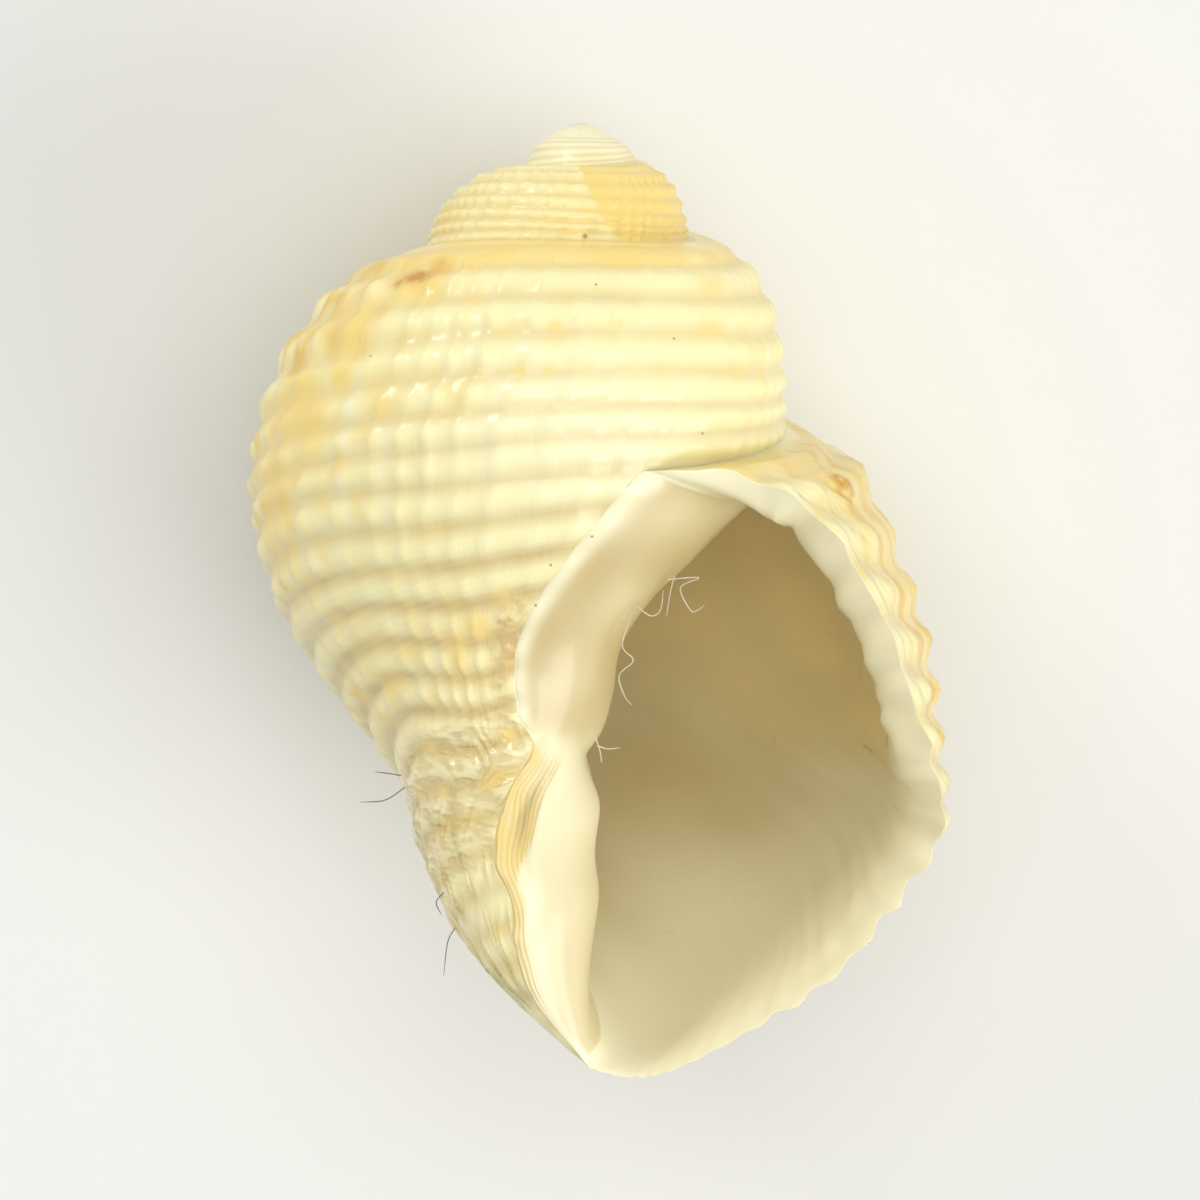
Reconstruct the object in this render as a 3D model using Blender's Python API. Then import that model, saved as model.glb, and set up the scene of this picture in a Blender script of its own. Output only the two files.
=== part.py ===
"""A cancellaria obtusa shell, empty, lying on its back: one closed body of shell wall.

The body is a loft along a spiral between unlike cross-sections, so its faces are made by hand. It is
worked out in a growth frame in millimetres: the spiral winds about Z, apex up, aperture towards -Y.
A point of a section is (radius, drop): its distance from the centre line and its depth below the top.
Turn 0 is the right-hand edge of the last whorl as seen from the aperture, and turns grow towards the lip.
Rows run down a whorl: row 0 is the upper suture, rows 1, 2, 3 and so on are the crests of the spiral cords,
row 7 is the lower suture, which the next whorl covers, and row 24 is the tip of the base.
"""

import math

import bmesh
import bpy
import numpy as np

# The spiral: how much it widens in a turn, and the turns at which it starts and at which the lip is attached.
WIDENING = 2.187
LIP_JOIN_TURN = 0.193
SPIRAL_TURNS = 3.0
STEPS_PER_TURN = 40
SUTURE_ROW = 7
TIP_ROW = 24

# The oldest whorls are worn and rounded into a dome, which leans to the left.
DOME_DROP = 1.1
DOME_POWER = 3
DOME_SHIFT = -0.5
DOME_FADE = 1.1

# Cross-sections of the outside, as (radius, drop) at the rows listed.
KEY_ROWS = (0, 1, 2, 3, 5, 7, 9, 11, 13, 15, 18, 21, 24)
SPIRE_SECTIONS = {
    -2.0: ((1.47, 2.21), (2.33, 2.48), (2.85, 2.83), (3.29, 3.30), (3.82, 4.49), (3.97, 5.19)),
    -1.5: ((2.59, 2.83), (3.74, 3.34), (4.46, 3.76), (5.17, 4.38), (5.89, 5.53), (6.08, 6.66)),
    -1.0: ((3.97, 5.19), (5.52, 5.44), (6.73, 6.38), (7.59, 7.74), (8.32, 10.41), (8.56, 12.34)),
}
FRONT_TURN = -0.75
FRONT_SECTION = (
    (4.93, 5.81), (7.16, 6.33), (8.24, 7.48), (9.19, 8.75), (10.11, 11.79), (10.03, 14.44), (8.79, 17.51),
    (6.84, 20.45), (5.37, 23.16), (4.93, 25.95), (4.89, 29.84), (3.78, 34.14), (0.0, 38.52),
)
LEFT_TURN = -0.5
LEFT_SECTION = (
    (6.08, 6.66), (8.59, 7.82), (9.77, 9.02), (11.03, 10.89), (12.07, 15.20), (11.70, 18.34), (10.23, 21.41),
    (7.37, 24.49), (5.40, 26.96), (5.05, 29.43), (4.07, 33.35), (2.10, 36.33), (0.0, 38.52),
)
RIGHT_SECTION = (
    (8.69, 12.26), (9.95, 12.89), (11.78, 13.85), (13.17, 16.12), (14.97, 20.21), (15.96, 24.00), (16.30, 27.38),
    (14.12, 30.80), (11.11, 33.97), (7.48, 36.25), (3.55, 38.26), (1.54, 38.72), (0.0, 38.52),
)
LIP_TURN = 0.15
LIP_TOP = ((9.79, 14.41), (10.90, 14.41), (12.55, 15.32), (13.51, 16.71), (15.06, 20.45), (15.96, 24.00))

# The centre line leaves the axis near the base and bends towards the right and the front.
BEND_START = 24.7
TIP_DROP = 38.52
TIP_SHIFT = (3.58, -1.79)
BEND_POWER = 1.6

# Spiral cords, one to a row.
CORD_RELIEF = 0.24
LAST_SHARP_CORD = 14.5
SUTURE_DRIFT = 0.6

# Where the outside ends: turns of the lip edge and of the callus edge, by row.
LIP_EDGE = {
    0: 0.193, 1: 0.150, 2: 0.122, 3: 0.096, 4: 0.079, 5: 0.065, 6: 0.056, 7: 0.044, 8: 0.030, 9: 0.010,
    10: -0.004, 12: -0.012, 16: -0.020, 24: -0.020,
}
CALLUS_EDGE = {
    7: 0.193, 8.5: 0.213, 10: 0.243, 11: 0.263, 12: 0.277, 13: 0.278, 14: 0.271, 15: 0.253, 16: 0.285, 17: 0.307,
    18: 0.316, 19: 0.305, 20: 0.318, 21.3: 0.338, 23: 0.360, 24: 0.360,
}
LIP_END_TURN = -0.02

# The hollow. Wall thickness by row, the turn where the hollow ends, and the inner side by row as (radius, drop):
# the bulge of the whorl above with its callus, two folds, and the pillar down to the tip.
WALL = {0: 2.10, 1: 1.55, 2: 1.35, 3: 1.23, 4: 1.11, 6: 1.03, 10: 0.88, 14: 0.72, 18: 0.56, 24: 0.52}
LIP_ROUNDING = 0.052
BACK_THICKENING = 0.8
BACK_TURN = -0.26
HOLLOW_END_TURN = -2.2
HOLLOW_CORNER = (9.35, 15.60)
PILLAR_ROWS = (7, 7.5, 8.5, 10, 11.5, 12.5, 14, 15, 16.3, 18, 20, 21, 22, 23, 24)
PILLAR_AT_APERTURE = (
    (9.07, 15.92), (8.12, 16.16), (5.89, 17.91), (3.66, 19.78), (2.51, 22.09), (2.87, 23.48), (2.63, 25.31),
    (2.17, 26.34), (2.43, 27.86), (2.07, 29.84), (1.95, 31.83), (1.43, 33.82), (0.84, 35.81), (0.36, 37.33),
    (0.0, 38.00),
)
PILLAR_INSIDE = (
    (9.07, 15.92), (8.12, 16.16), (5.89, 17.91), (3.66, 19.78), (2.51, 22.09), (2.87, 23.48), (2.63, 25.31),
    (2.17, 26.34), (2.39, 28.45), (2.31, 31.04), (2.47, 33.82), (2.79, 35.81), (3.38, 37.41), (4.78, 38.40),
    (6.49, 38.84),
)
LOWEST_ROW_INSIDE = {-3.0: 13, -0.5: 13, -0.25: 15.2, -0.10: 19.5, -0.02: 24}
TIP_THICKNESS = 0.56
CALLUS_THICKNESS = 0.25
CHINK_ROW = 16.8
CHINK_DEPTH = 0.80
HOLLOW_RINGS = 30
RING_CROWDING = 1.9

# How it lies: the roll of its axis, how far its apex end leans down, and the height cut off for the flat spot.
AXIS_ROLL = 5.83
REST_LEAN = 14.0
FLAT_SPOT_CUT = 0.80
SNAP = 0.01


def curve(at, knots, values):
    """A smooth curve through the values at the knots, which stops at the end knots."""
    knots = np.asarray(knots, float)
    values = np.asarray(values, float)
    wide = (-1,) + (1,) * (values.ndim - 1)
    gaps = np.diff(knots)
    rises = np.diff(values, axis=0) / gaps.reshape(wide)
    share = (gaps[1:] / (gaps[1:] + gaps[:-1])).reshape(wide)
    slopes = np.concatenate([rises[:1], share * rises[:-1] + (1 - share) * rises[1:], rises[-1:]])
    at = np.clip(np.asarray(at, float), knots[0], knots[-1])
    piece = np.clip(np.searchsorted(knots, at, side="right") - 1, 0, len(gaps) - 1)
    shape = at.shape + (1,) * (values.ndim - 1)
    gap = gaps[piece].reshape(shape)
    u = (at.reshape(shape) - knots[piece].reshape(shape)) / gap
    start = (1 + 2 * u) * (1 - u) ** 2 * values[piece] + u * (1 - u) ** 2 * gap * slopes[piece]
    end = u**2 * (3 - 2 * u) * values[piece + 1] + u**2 * (u - 1) * gap * slopes[piece + 1]
    return start + end


def by_row(table, row):
    """The value for a row, from a table of values by row."""
    knots = sorted(table)
    return curve(row, knots, [table[knot] for knot in knots])


def ease(x):
    """From 0 to 1 with a level start and a level end."""
    x = np.clip(x, 0, 1)
    return x * x * (3 - 2 * x)


def mix(first, second, share):
    """Points between two sets of points."""
    share = np.asarray(share)[..., None]
    return first * (1 - share) + second * share


def sections_by_turn():
    """Turns, and at each one the whole outside section divided by the widening so far."""
    front = curve(np.arange(TIP_ROW + 1), KEY_ROWS, FRONT_SECTION) / WIDENING**FRONT_TURN
    left = curve(np.arange(TIP_ROW + 1), KEY_ROWS, LEFT_SECTION) / WIDENING**LEFT_TURN
    right = curve(np.arange(TIP_ROW + 1), KEY_ROWS, RIGHT_SECTION)
    upper_rows = np.arange(SUTURE_ROW + 1)
    sections = {}
    for turn, points in SPIRE_SECTIONS.items():
        upper = curve(upper_rows, KEY_ROWS[:6], points) / WIDENING**turn
        fade = np.clip(1 - (np.arange(TIP_ROW + 1) - SUTURE_ROW) / 6, 0, 1)[:, None]
        section = front + (upper[-1] - front[SUTURE_ROW]) * fade
        section[: SUTURE_ROW + 1] = upper
        sections[turn] = section
    sections[FRONT_TURN] = front
    sections[LEFT_TURN] = left
    sections[0.0] = right
    lip = right.copy()
    lip[: SUTURE_ROW + 1] = curve(upper_rows, KEY_ROWS[:6], LIP_TOP)
    sections[LIP_TURN] = lip / WIDENING**LIP_TURN
    turns = sorted(sections)
    return np.array(turns), np.array([sections[turn] for turn in turns])


KEY_TURNS, KEY_SECTIONS = sections_by_turn()


def section(turn, cord):
    """Smooth outside points as (radius, drop), and the directions away from the shell wall there."""
    turn, cord = np.broadcast_arrays(np.asarray(turn, float), np.asarray(cord, float))
    rows = curve(turn.ravel(), KEY_TURNS, KEY_SECTIONS)
    below = np.clip(np.floor(cord.ravel()).astype(int), 0, TIP_ROW - 1)
    u = (cord.ravel() - below)[:, None]
    each = np.arange(rows.shape[0])
    before, start, end, after = (rows[each, np.clip(below + k, 0, TIP_ROW)] for k in (-1, 0, 1, 2))
    leave = np.where(below[:, None] > 0, (end - before) / 2, end - start)
    arrive = np.where(below[:, None] < TIP_ROW - 1, (after - start) / 2, end - start)
    point = (1 + 2 * u) * (1 - u) ** 2 * start + u * (1 - u) ** 2 * leave
    point += u**2 * (3 - 2 * u) * end + u**2 * (u - 1) * arrive
    along = (6 * u * u - 6 * u) * (start - end)
    along += (3 * u * u - 4 * u + 1) * leave + (3 * u * u - 2 * u) * arrive
    outwards = np.stack([along[:, 1], -along[:, 0]], axis=-1)
    outwards /= np.linalg.norm(outwards, axis=-1, keepdims=True) + 1e-9
    size = (WIDENING ** turn.ravel())[:, None]
    return (point * size).reshape(turn.shape + (2,)), outwards.reshape(turn.shape + (2,))


def cord_at(row, turn):
    """Cord number at a row. The last suture slips down over the cords of the whorl that it covers."""
    slip = ease((turn + 1.1) / 0.29) * (1 - ease((turn + 0.8) / 0.35))
    near = np.where(row < SUTURE_ROW, np.clip(row - SUTURE_ROW + 1, 0, 1), np.clip(SUTURE_ROW + 1 - row, 0, 1))
    return row + SUTURE_DRIFT * slip * near


def relief(cord, turn):
    """Height of the cords over the smooth outside: rounded crests at whole numbers, with narrower grooves."""
    fades = ease((cord - 0.3) / 0.7) * (1 - 0.75 * ease((cord - LAST_SHARP_CORD) / 3)) * (1 - ease((cord - 22.5) / 1.5))
    size = np.clip(WIDENING ** (0.8 * (turn + 0.5)), 0, 1.15)
    return CORD_RELIEF * size * fades * ((0.5 + 0.5 * np.cos(2 * np.pi * cord)) ** 0.8 - 0.55)


def outside(row, turn):
    """Outside points as (radius, drop), with the cords."""
    cord = cord_at(row, turn)
    point, outwards = section(turn, cord)
    return point + outwards * relief(cord, turn)[..., None]


def in_space(points, turn):
    """Puts (radius, drop) points round the centre line at the given turns, with the apex rounded to a dome."""
    radius, drop = points[..., 0], points[..., 1]
    drop = (drop**DOME_POWER + DOME_DROP**DOME_POWER) ** (1 / DOME_POWER)
    dome = DOME_SHIFT * np.exp(-(((drop - DOME_DROP) / DOME_FADE) ** 2))
    bend = np.clip((drop - BEND_START) / (TIP_DROP - BEND_START), 0, 1.02) ** BEND_POWER
    angle = -2 * np.pi * turn
    x = TIP_SHIFT[0] * bend + radius * np.cos(angle) + dome
    y = TIP_SHIFT[1] * bend + radius * np.sin(angle)
    return np.stack([x, y, -drop], axis=-1)


def corner_of_hollow(turn):
    """The upper corner of the hollow, which meets the outside where the lip is attached."""
    join = outside(np.array([float(SUTURE_ROW)]), np.array([LIP_JOIN_TURN - 1]))[0]
    inside = np.array(HOLLOW_CORNER) * (WIDENING ** np.minimum(turn, 0))[..., None]
    return mix(inside, join, ease(turn / LIP_JOIN_TURN))


def tip_of_hollow(turn, behind):
    """The lower end of the hollow, which meets the outside at the tip."""
    level = np.stack([0 * turn, TIP_DROP - TIP_THICKNESS * edge_rounding(behind)], axis=-1)
    inside = np.array(PILLAR_INSIDE[-1]) * (WIDENING**turn)[..., None]
    return mix(level, inside, ease((LIP_END_TURN - turn) / 0.23))


def edge_rounding(behind):
    """From 0 at the lip edge to 1 where the wall has its full thickness, by the turn behind the edge."""
    return 1 - (1 - np.clip(behind / LIP_ROUNDING, 0, 1)) ** 2.2


def hollow_under_outside(row, depth):
    """Hollow points under the outside, from 0 deep at the lip to 1 at the end, and their turns."""
    turn = by_row(LIP_EDGE, row) * (1 - depth) + HOLLOW_END_TURN * depth
    lowest = by_row(LOWEST_ROW_INSIDE, turn)
    cord = cord_at(row, turn) * lowest / TIP_ROW
    kept = np.maximum(turn, LEFT_TURN)
    point, outwards = section(kept, cord)
    point = point * (WIDENING ** (turn - kept))[..., None]
    behind = by_row(LIP_EDGE, row) - turn
    lip_relief = relief(cord_at(row, turn), turn) * (1 - np.clip(behind / LIP_ROUNDING, 0, 1)) ** 2
    back = BACK_THICKENING * np.exp(-(((turn - BACK_TURN) / 0.11) ** 2) - ((row - 8) / 4.5) ** 2)
    inset = (by_row(WALL, row) + back) * edge_rounding(behind) * WIDENING ** np.minimum(turn, 0)
    point = point + outwards * (lip_relief - inset)[..., None]
    point = mix(point, corner_of_hollow(turn), ease(1 - row))
    clear = PILLAR_INSIDE[-1][0] * WIDENING ** np.minimum(turn, 0) * ease((LIP_END_TURN - turn) / 0.23)
    point[..., 0] = np.maximum(point[..., 0], clear * ease(behind / 0.03) * ease((row - 20) / 4))
    return mix(point, tip_of_hollow(turn, behind), ease((row - 22) / 2)), turn


def hollow_over_pillar(row, depth):
    """Hollow points over the callus, the whorl above and the pillar, and their turns."""
    start_turn = by_row(CALLUS_EDGE, row)
    haste = 1 + 7 * ease((row - 17.5) / 5.5)
    turn = LIP_END_TURN * (1 - depth) + HOLLOW_END_TURN * depth
    turn = turn + (start_turn - LIP_END_TURN) * (1 - depth) ** haste
    size = (WIDENING ** np.minimum(turn, 0))[..., None]
    aperture = curve(row, PILLAR_ROWS, PILLAR_AT_APERTURE) * size
    pillar = mix(aperture, curve(row, PILLAR_ROWS, PILLAR_INSIDE) * size, ease(-turn / 0.25))
    point = mix(pillar, outside(row, start_turn - 1), np.clip(turn / start_turn, 0, 1) ** 1.15)
    behind = start_turn - turn
    callus = CALLUS_THICKNESS * (1 - np.exp(-behind / 0.012)) * (1 - ease(behind / 0.2))
    chink = CHINK_DEPTH * np.exp(-(((row - CHINK_ROW) / 1.1) ** 2) - ((behind - 0.035) / 0.02) ** 2)
    point[..., 0] += (callus - chink) * (row > SUTURE_ROW + 0.4) * ease((TIP_ROW - row) / 2)
    return mix(point, corner_of_hollow(turn), ease(SUTURE_ROW + 1 - row)), turn


def split(points, a, b, c, d):
    """Two triangles for each four-sided face, along its shorter diagonal."""
    first = np.linalg.norm(points[a] - points[c], axis=1) <= np.linalg.norm(points[b] - points[d], axis=1)
    along_ac = np.stack([np.stack([a, b, c], axis=1), np.stack([a, c, d], axis=1)], axis=1)
    along_bd = np.stack([np.stack([a, b, d], axis=1), np.stack([b, c, d], axis=1)], axis=1)
    return np.where(first[:, None, None], along_ac, along_bd).reshape(-1, 3)


def fan(loop, centre):
    """Triangles from a closed loop to one point."""
    return np.stack([loop, np.roll(loop, -1), np.full(len(loop), centre)], axis=1)


def outside_grid(rows):
    """Turns and points of the outside, column by column from the apex to the lip."""
    columns = round(SPIRAL_TURNS * STEPS_PER_TURN) + 1
    even = LIP_JOIN_TURN + (np.arange(columns) - columns + 1) / STEPS_PER_TURN
    even, row = np.meshgrid(even, rows, indexing="ij")
    to_lip = (by_row(LIP_EDGE, row) - LIP_JOIN_TURN) * np.clip((even + 0.25) / (LIP_JOIN_TURN + 0.25), 0, 1) ** 1.3
    last_whorl = even > LIP_JOIN_TURN - 1 - 1e-9
    from_callus = (by_row(CALLUS_EDGE, row) - LIP_JOIN_TURN) * np.clip(1 - (even - LIP_JOIN_TURN + 1) / 0.5, 0, 1)
    turn = even + to_lip + from_callus * last_whorl * (row > SUTURE_ROW)
    points = in_space(outside(row, turn), turn)
    gap = points[:-STEPS_PER_TURN, rows == SUTURE_ROW] - points[STEPS_PER_TURN:, :1]
    points[STEPS_PER_TURN:] += gap * np.clip(1 - rows, 0, 1)[None, :, None]
    return points


def number_points(columns, rows):
    """Point numbers by column and row. A whorl's first row is the suture row one turn before, and all end at the tip."""
    suture = int(np.flatnonzero(rows == SUTURE_ROW)[0])
    last_whorl = columns - 1 - STEPS_PER_TURN
    numbers = np.full((columns, len(rows)), -1)
    own = np.zeros((columns, len(rows)), bool)
    own[:, : suture + 1] = True
    own[last_whorl:, suture:] = True
    own[STEPS_PER_TURN:, 0] = False
    own[:, -1] = False
    numbers[own] = np.arange(own.sum())
    numbers[STEPS_PER_TURN:, 0] = numbers[:-STEPS_PER_TURN, suture]
    numbers[last_whorl:, -1] = own.sum()
    return numbers, own, suture, last_whorl


def quads(numbers):
    """Corners of the faces of a grid of point numbers."""
    return [part.ravel() for part in (numbers[:-1, :-1], numbers[:-1, 1:], numbers[1:, 1:], numbers[1:, :-1])]


def shell_mesh():
    """Points and triangles of the closed body in the growth frame."""
    rows = np.concatenate([np.arange(0, 15.01, 0.5), np.arange(16, TIP_ROW + 1)])
    grid = outside_grid(rows)
    numbers, own, suture, last_whorl = number_points(len(grid), rows)
    tip = int(own.sum())
    ends = in_space(np.array([[0.0, TIP_DROP], [0.0, 0.0]]), np.zeros(2))
    points = np.concatenate([grid[own], ends])
    apex = tip + 1

    spire = quads(numbers[: last_whorl + 1, : suture + 1])
    whorl = quads(numbers[last_whorl:, :-1])
    outer = [split(points, *spire), split(points, *whorl)]
    outer.append(np.stack([numbers[last_whorl:-1, -2], np.full(STEPS_PER_TURN, tip), numbers[last_whorl + 1 :, -2]], axis=1))
    top = np.concatenate([numbers[: STEPS_PER_TURN + 1, 0], numbers[0, suture - 1 : 0 : -1]])
    outer.append(fan(top, apex))

    rim = np.concatenate([numbers[-1, :-1], [tip], numbers[last_whorl, -2:suture:-1]])
    outer_rows = rows.copy()
    pillar_rows = rows[-2:suture:-1]
    rings = [rim]
    for k in range(1, HOLLOW_RINGS + 1):
        depth = (k / HOLLOW_RINGS) ** RING_CROWDING
        lip_side, lip_turns = hollow_under_outside(outer_rows, depth)
        pillar_side, pillar_turns = hollow_over_pillar(pillar_rows, depth)
        ring = np.concatenate([in_space(lip_side, lip_turns), in_space(pillar_side, pillar_turns)])
        rings.append(len(points) + np.arange(len(ring)))
        points = np.concatenate([points, ring])
    rings = np.array(rings)
    points = np.concatenate([points, points[rings[-1]].mean(axis=0)[None]])
    closed_rings = np.concatenate([rings, rings[:, :1]], axis=1)
    inner = [split(points, *quads(closed_rings)), fan(rings[-1], len(points) - 1)]
    faces = np.concatenate(outer + inner)
    return points, faces[:, ::-1]


def lay_down(points):
    """Turns growth-frame points into the resting pose, in metres, with the flat spot at height 0."""
    roll = math.radians(AXIS_ROLL)
    lean = math.radians(REST_LEAN)
    x = points[:, 0] * math.cos(roll) + points[:, 2] * math.sin(roll)
    up_picture = points[:, 2] * math.cos(roll) - points[:, 0] * math.sin(roll)
    away = points[:, 1]
    y = up_picture * math.cos(lean) - away * math.sin(lean)
    z = -away * math.cos(lean) - up_picture * math.sin(lean)
    laid = np.stack([x, y, z], axis=-1)
    middle = (laid.min(axis=0) + laid.max(axis=0)) / 2
    laid -= (middle[0], middle[1], laid[:, 2].min() + FLAT_SPOT_CUT)
    return laid / 1000


def cut_flat_spot(mesh):
    """Cuts off what lies under height 0 and closes the body with one flat face."""
    work = bmesh.new()
    work.from_mesh(mesh)
    everything = work.verts[:] + work.edges[:] + work.faces[:]
    cut = bmesh.ops.bisect_plane(
        work, geom=everything, dist=SNAP / 1000, plane_co=(0, 0, 0), plane_no=(0, 0, 1), clear_inner=True
    )
    rim = [part for part in cut["geom_cut"] if isinstance(part, bmesh.types.BMEdge)]
    bmesh.ops.holes_fill(work, edges=rim, sides=0)
    bmesh.ops.triangulate(work, faces=work.faces[:])
    bmesh.ops.recalc_face_normals(work, faces=work.faces[:])
    work.to_mesh(mesh)
    work.free()


def shell_material():
    """Cream shell lime with a satin surface."""
    material = bpy.data.materials.new("shell_lime")
    material.use_nodes = True
    surface = material.node_tree.nodes["Principled BSDF"]
    surface.inputs["Base Color"].default_value = (0.83, 0.74, 0.52, 1.0)
    surface.inputs["Roughness"].default_value = 0.35
    return material


def main():
    for old in list(bpy.data.objects):
        bpy.data.objects.remove(old)
    points, faces = shell_mesh()
    mesh = bpy.data.meshes.new("shell")
    mesh.from_pydata(lay_down(points).tolist(), [], faces.tolist())
    cut_flat_spot(mesh)
    mesh.materials.append(shell_material())
    mesh.update()
    shell = bpy.data.objects.new("shell", mesh)
    bpy.context.scene.collection.objects.link(shell)


main()
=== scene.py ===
"""An empty cancellaria obtusa shell lying on its back on a pale floor, seen from the side of its mouth.

The shell's shape is worked out in millimetres in a growth frame: the spiral winds about Z with the apex up
and the mouth towards -Y. A point of a section is (radius, drop), its distance from the centre line and its
depth below the top. Turn 0 is the right-hand edge of the last whorl and turns grow towards the lip. Rows run
down a whorl: 0 is the upper suture, 1, 2, 3 and so on are crests of cords, 7 is the lower suture, 24 the tip.
"""

import math

import bpy
import numpy as np
from mathutils import Matrix, Vector


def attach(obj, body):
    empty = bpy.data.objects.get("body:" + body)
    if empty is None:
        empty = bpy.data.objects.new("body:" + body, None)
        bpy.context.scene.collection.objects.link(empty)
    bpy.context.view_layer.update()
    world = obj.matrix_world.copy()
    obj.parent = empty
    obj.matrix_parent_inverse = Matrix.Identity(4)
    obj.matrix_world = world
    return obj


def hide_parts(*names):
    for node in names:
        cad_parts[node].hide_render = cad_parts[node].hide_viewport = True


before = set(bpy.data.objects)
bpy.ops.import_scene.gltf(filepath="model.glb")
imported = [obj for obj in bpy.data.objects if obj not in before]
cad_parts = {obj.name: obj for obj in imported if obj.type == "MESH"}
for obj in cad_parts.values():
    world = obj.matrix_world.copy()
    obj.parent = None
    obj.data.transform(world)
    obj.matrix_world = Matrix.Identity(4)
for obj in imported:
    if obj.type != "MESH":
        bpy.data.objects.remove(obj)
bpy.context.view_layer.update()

# Camera: it stands over the lying shell, square to the mouth, far off with a long lens.
# The shell's axis leans 14 degrees down towards the apex, and the camera leans with it.
REST_LEAN = math.radians(14.0)
SENSOR_WIDTH = 36.0
CAMERA_DISTANCE = 1.0
VIEW_WIDTH = 0.04775
VIEW_CENTRE = Vector((0.00007, -0.0002, 0.01322))
VIEW_AXES = np.array([  # right, up and back
    (1, 0, 0), (0, math.cos(REST_LEAN), -math.sin(REST_LEAN)), (0, math.sin(REST_LEAN), math.cos(REST_LEAN)),
])


def added(name, data):
    """A new object with this mesh, lamp or camera, linked to the scene."""
    made = bpy.data.objects.new(name, data)
    bpy.context.scene.collection.objects.link(made)
    return made


camera_data = bpy.data.cameras.new("camera")
camera_data.sensor_width = SENSOR_WIDTH
camera_data.lens = SENSOR_WIDTH * CAMERA_DISTANCE / VIEW_WIDTH
camera_data.clip_start = 0.01
camera_data.clip_end = 10.0
camera = added("camera", camera_data)
camera.matrix_world = Matrix.Translation(VIEW_CENTRE + Vector(VIEW_AXES[2]) * CAMERA_DISTANCE) @ Matrix(
    VIEW_AXES.T
).to_4x4()
bpy.context.scene.camera = camera

# Shell: one piece of shell lime, laid down by the animal as a tube that widens while it winds.
# It carries spiral cords crossed by fine growth ribs, a thick lip, a callus sheet and a folded pillar.
WIDENING = 2.187
LIP_JOIN_TURN = 0.193
SPIRAL_TURNS = 3.5
COLUMNS_PER_TURN = 280
CROWDING = 0.45
CROWDED_TURN = -0.7
ROWS_PER_CORD = 6
HOLLOW_RINGS = 90
RING_CROWDING = 1.9
RELAXING_ROUNDS = 60
RELAXING_STEP = 0.8
SUTURE_ROW = 7
TIP_ROW = 24
OUTSIDE, LIP_SIDE, PILLAR_SIDE = 0, 1, 2

APEX_BOWL = 0.4
DOME_DROP = 1.1
DOME_POWER = 3
DOME_SHIFT = -0.5
DOME_FADE = 1.1
BEND_START = 24.7
TIP_DROP = 38.52
TIP_SHIFT = (3.58, -1.79)
BEND_POWER = 1.6

KEY_ROWS = (0, 1, 2, 3, 5, 7, 9, 11, 13, 15, 18, 21, 24)
SPIRE_SECTIONS = {
    -2.0: ((1.47, 2.21), (2.33, 2.48), (2.85, 2.83), (3.29, 3.3), (3.82, 4.49), (3.97, 5.19)),
    -1.5: ((2.59, 2.83), (3.74, 3.34), (4.46, 3.76), (5.17, 4.38), (5.89, 5.53), (6.08, 6.66)),
    -1.0: ((3.97, 5.19), (5.52, 5.44), (6.73, 6.38), (7.59, 7.74), (8.32, 10.41), (8.56, 12.34)),
}
FRONT_TURN = -0.75
FRONT_SECTION = (
    (4.93, 5.81), (7.16, 6.33), (8.24, 7.48), (9.19, 8.75), (10.11, 11.79), (10.03, 14.44), (8.79, 17.51),
    (6.84, 20.45), (5.37, 23.16), (4.93, 25.95), (4.89, 29.84), (3.78, 34.14), (0.0, 38.52),
)
LEFT_TURN = -0.5
LEFT_SECTION = (
    (6.08, 6.66), (8.59, 7.82), (9.77, 9.02), (11.03, 10.89), (12.07, 15.2), (11.7, 18.34), (10.23, 21.41),
    (7.37, 24.49), (5.4, 26.96), (5.05, 29.43), (4.07, 33.35), (2.1, 36.33), (0.0, 38.52),
)
RIGHT_SECTION = (
    (8.69, 12.26), (9.95, 12.89), (11.78, 13.85), (13.17, 16.12), (14.97, 20.21), (15.96, 24.0),
    (16.3, 27.38), (14.12, 30.8), (11.11, 33.97), (7.48, 36.25), (3.55, 38.26), (1.54, 38.72), (0.0, 38.52),
)
LIP_TURN = 0.15
LIP_TOP = ((9.79, 14.41), (10.9, 14.41), (12.55, 15.32), (13.51, 16.71), (15.06, 20.45), (15.96, 24.0))

LIP_EDGE = {
    0: 0.193, 1: 0.15, 2: 0.122, 3: 0.096, 4: 0.079, 5: 0.065, 6: 0.056, 7: 0.044, 8: 0.03, 9: 0.01,
    10: -0.004, 12: -0.012, 16: -0.02, 24: -0.02,
}
LIP_WAVE = 0.003
CREST_DRIFT = {
    0: 0, 2: -0.2, 4: -0.15, 5: 0.1, 6: 0.26, 7: 0.42, 9: 0.48, 10: 0.8, 11: 1.0, 13: 1.0, 16: 0.5, 24: 0,
}
CALLUS_EDGE = {
    7: 0.193, 8.5: 0.213, 10: 0.243, 11: 0.263, 12: 0.277, 13: 0.278, 14: 0.271, 15: 0.253, 16: 0.285,
    17: 0.307, 18: 0.316, 19: 0.305, 20: 0.318, 21.3: 0.338, 23: 0.36, 24: 0.36,
}
LIP_END_TURN = -0.02
WALL = {0: 2.1, 1: 1.55, 2: 1.35, 3: 1.23, 4: 1.11, 6: 1.03, 10: 0.88, 14: 0.72, 18: 0.56, 24: 0.52}
LIP_ROUNDING = 0.052
BEVEL = {0: 0.1, 1: 0.5, 2: 1.0, 3: 1.25, 5: 1.25, 7: 1.1, 9: 0.7, 12: 0.35, 15: 0.15, 18: 0, 24: 0}
BACK_THICKENING = 0.8
BACK_TURN = -0.26
HOLLOW_END_TURN = -2.2
HOLLOW_CORNER = (9.35, 15.6)
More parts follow.
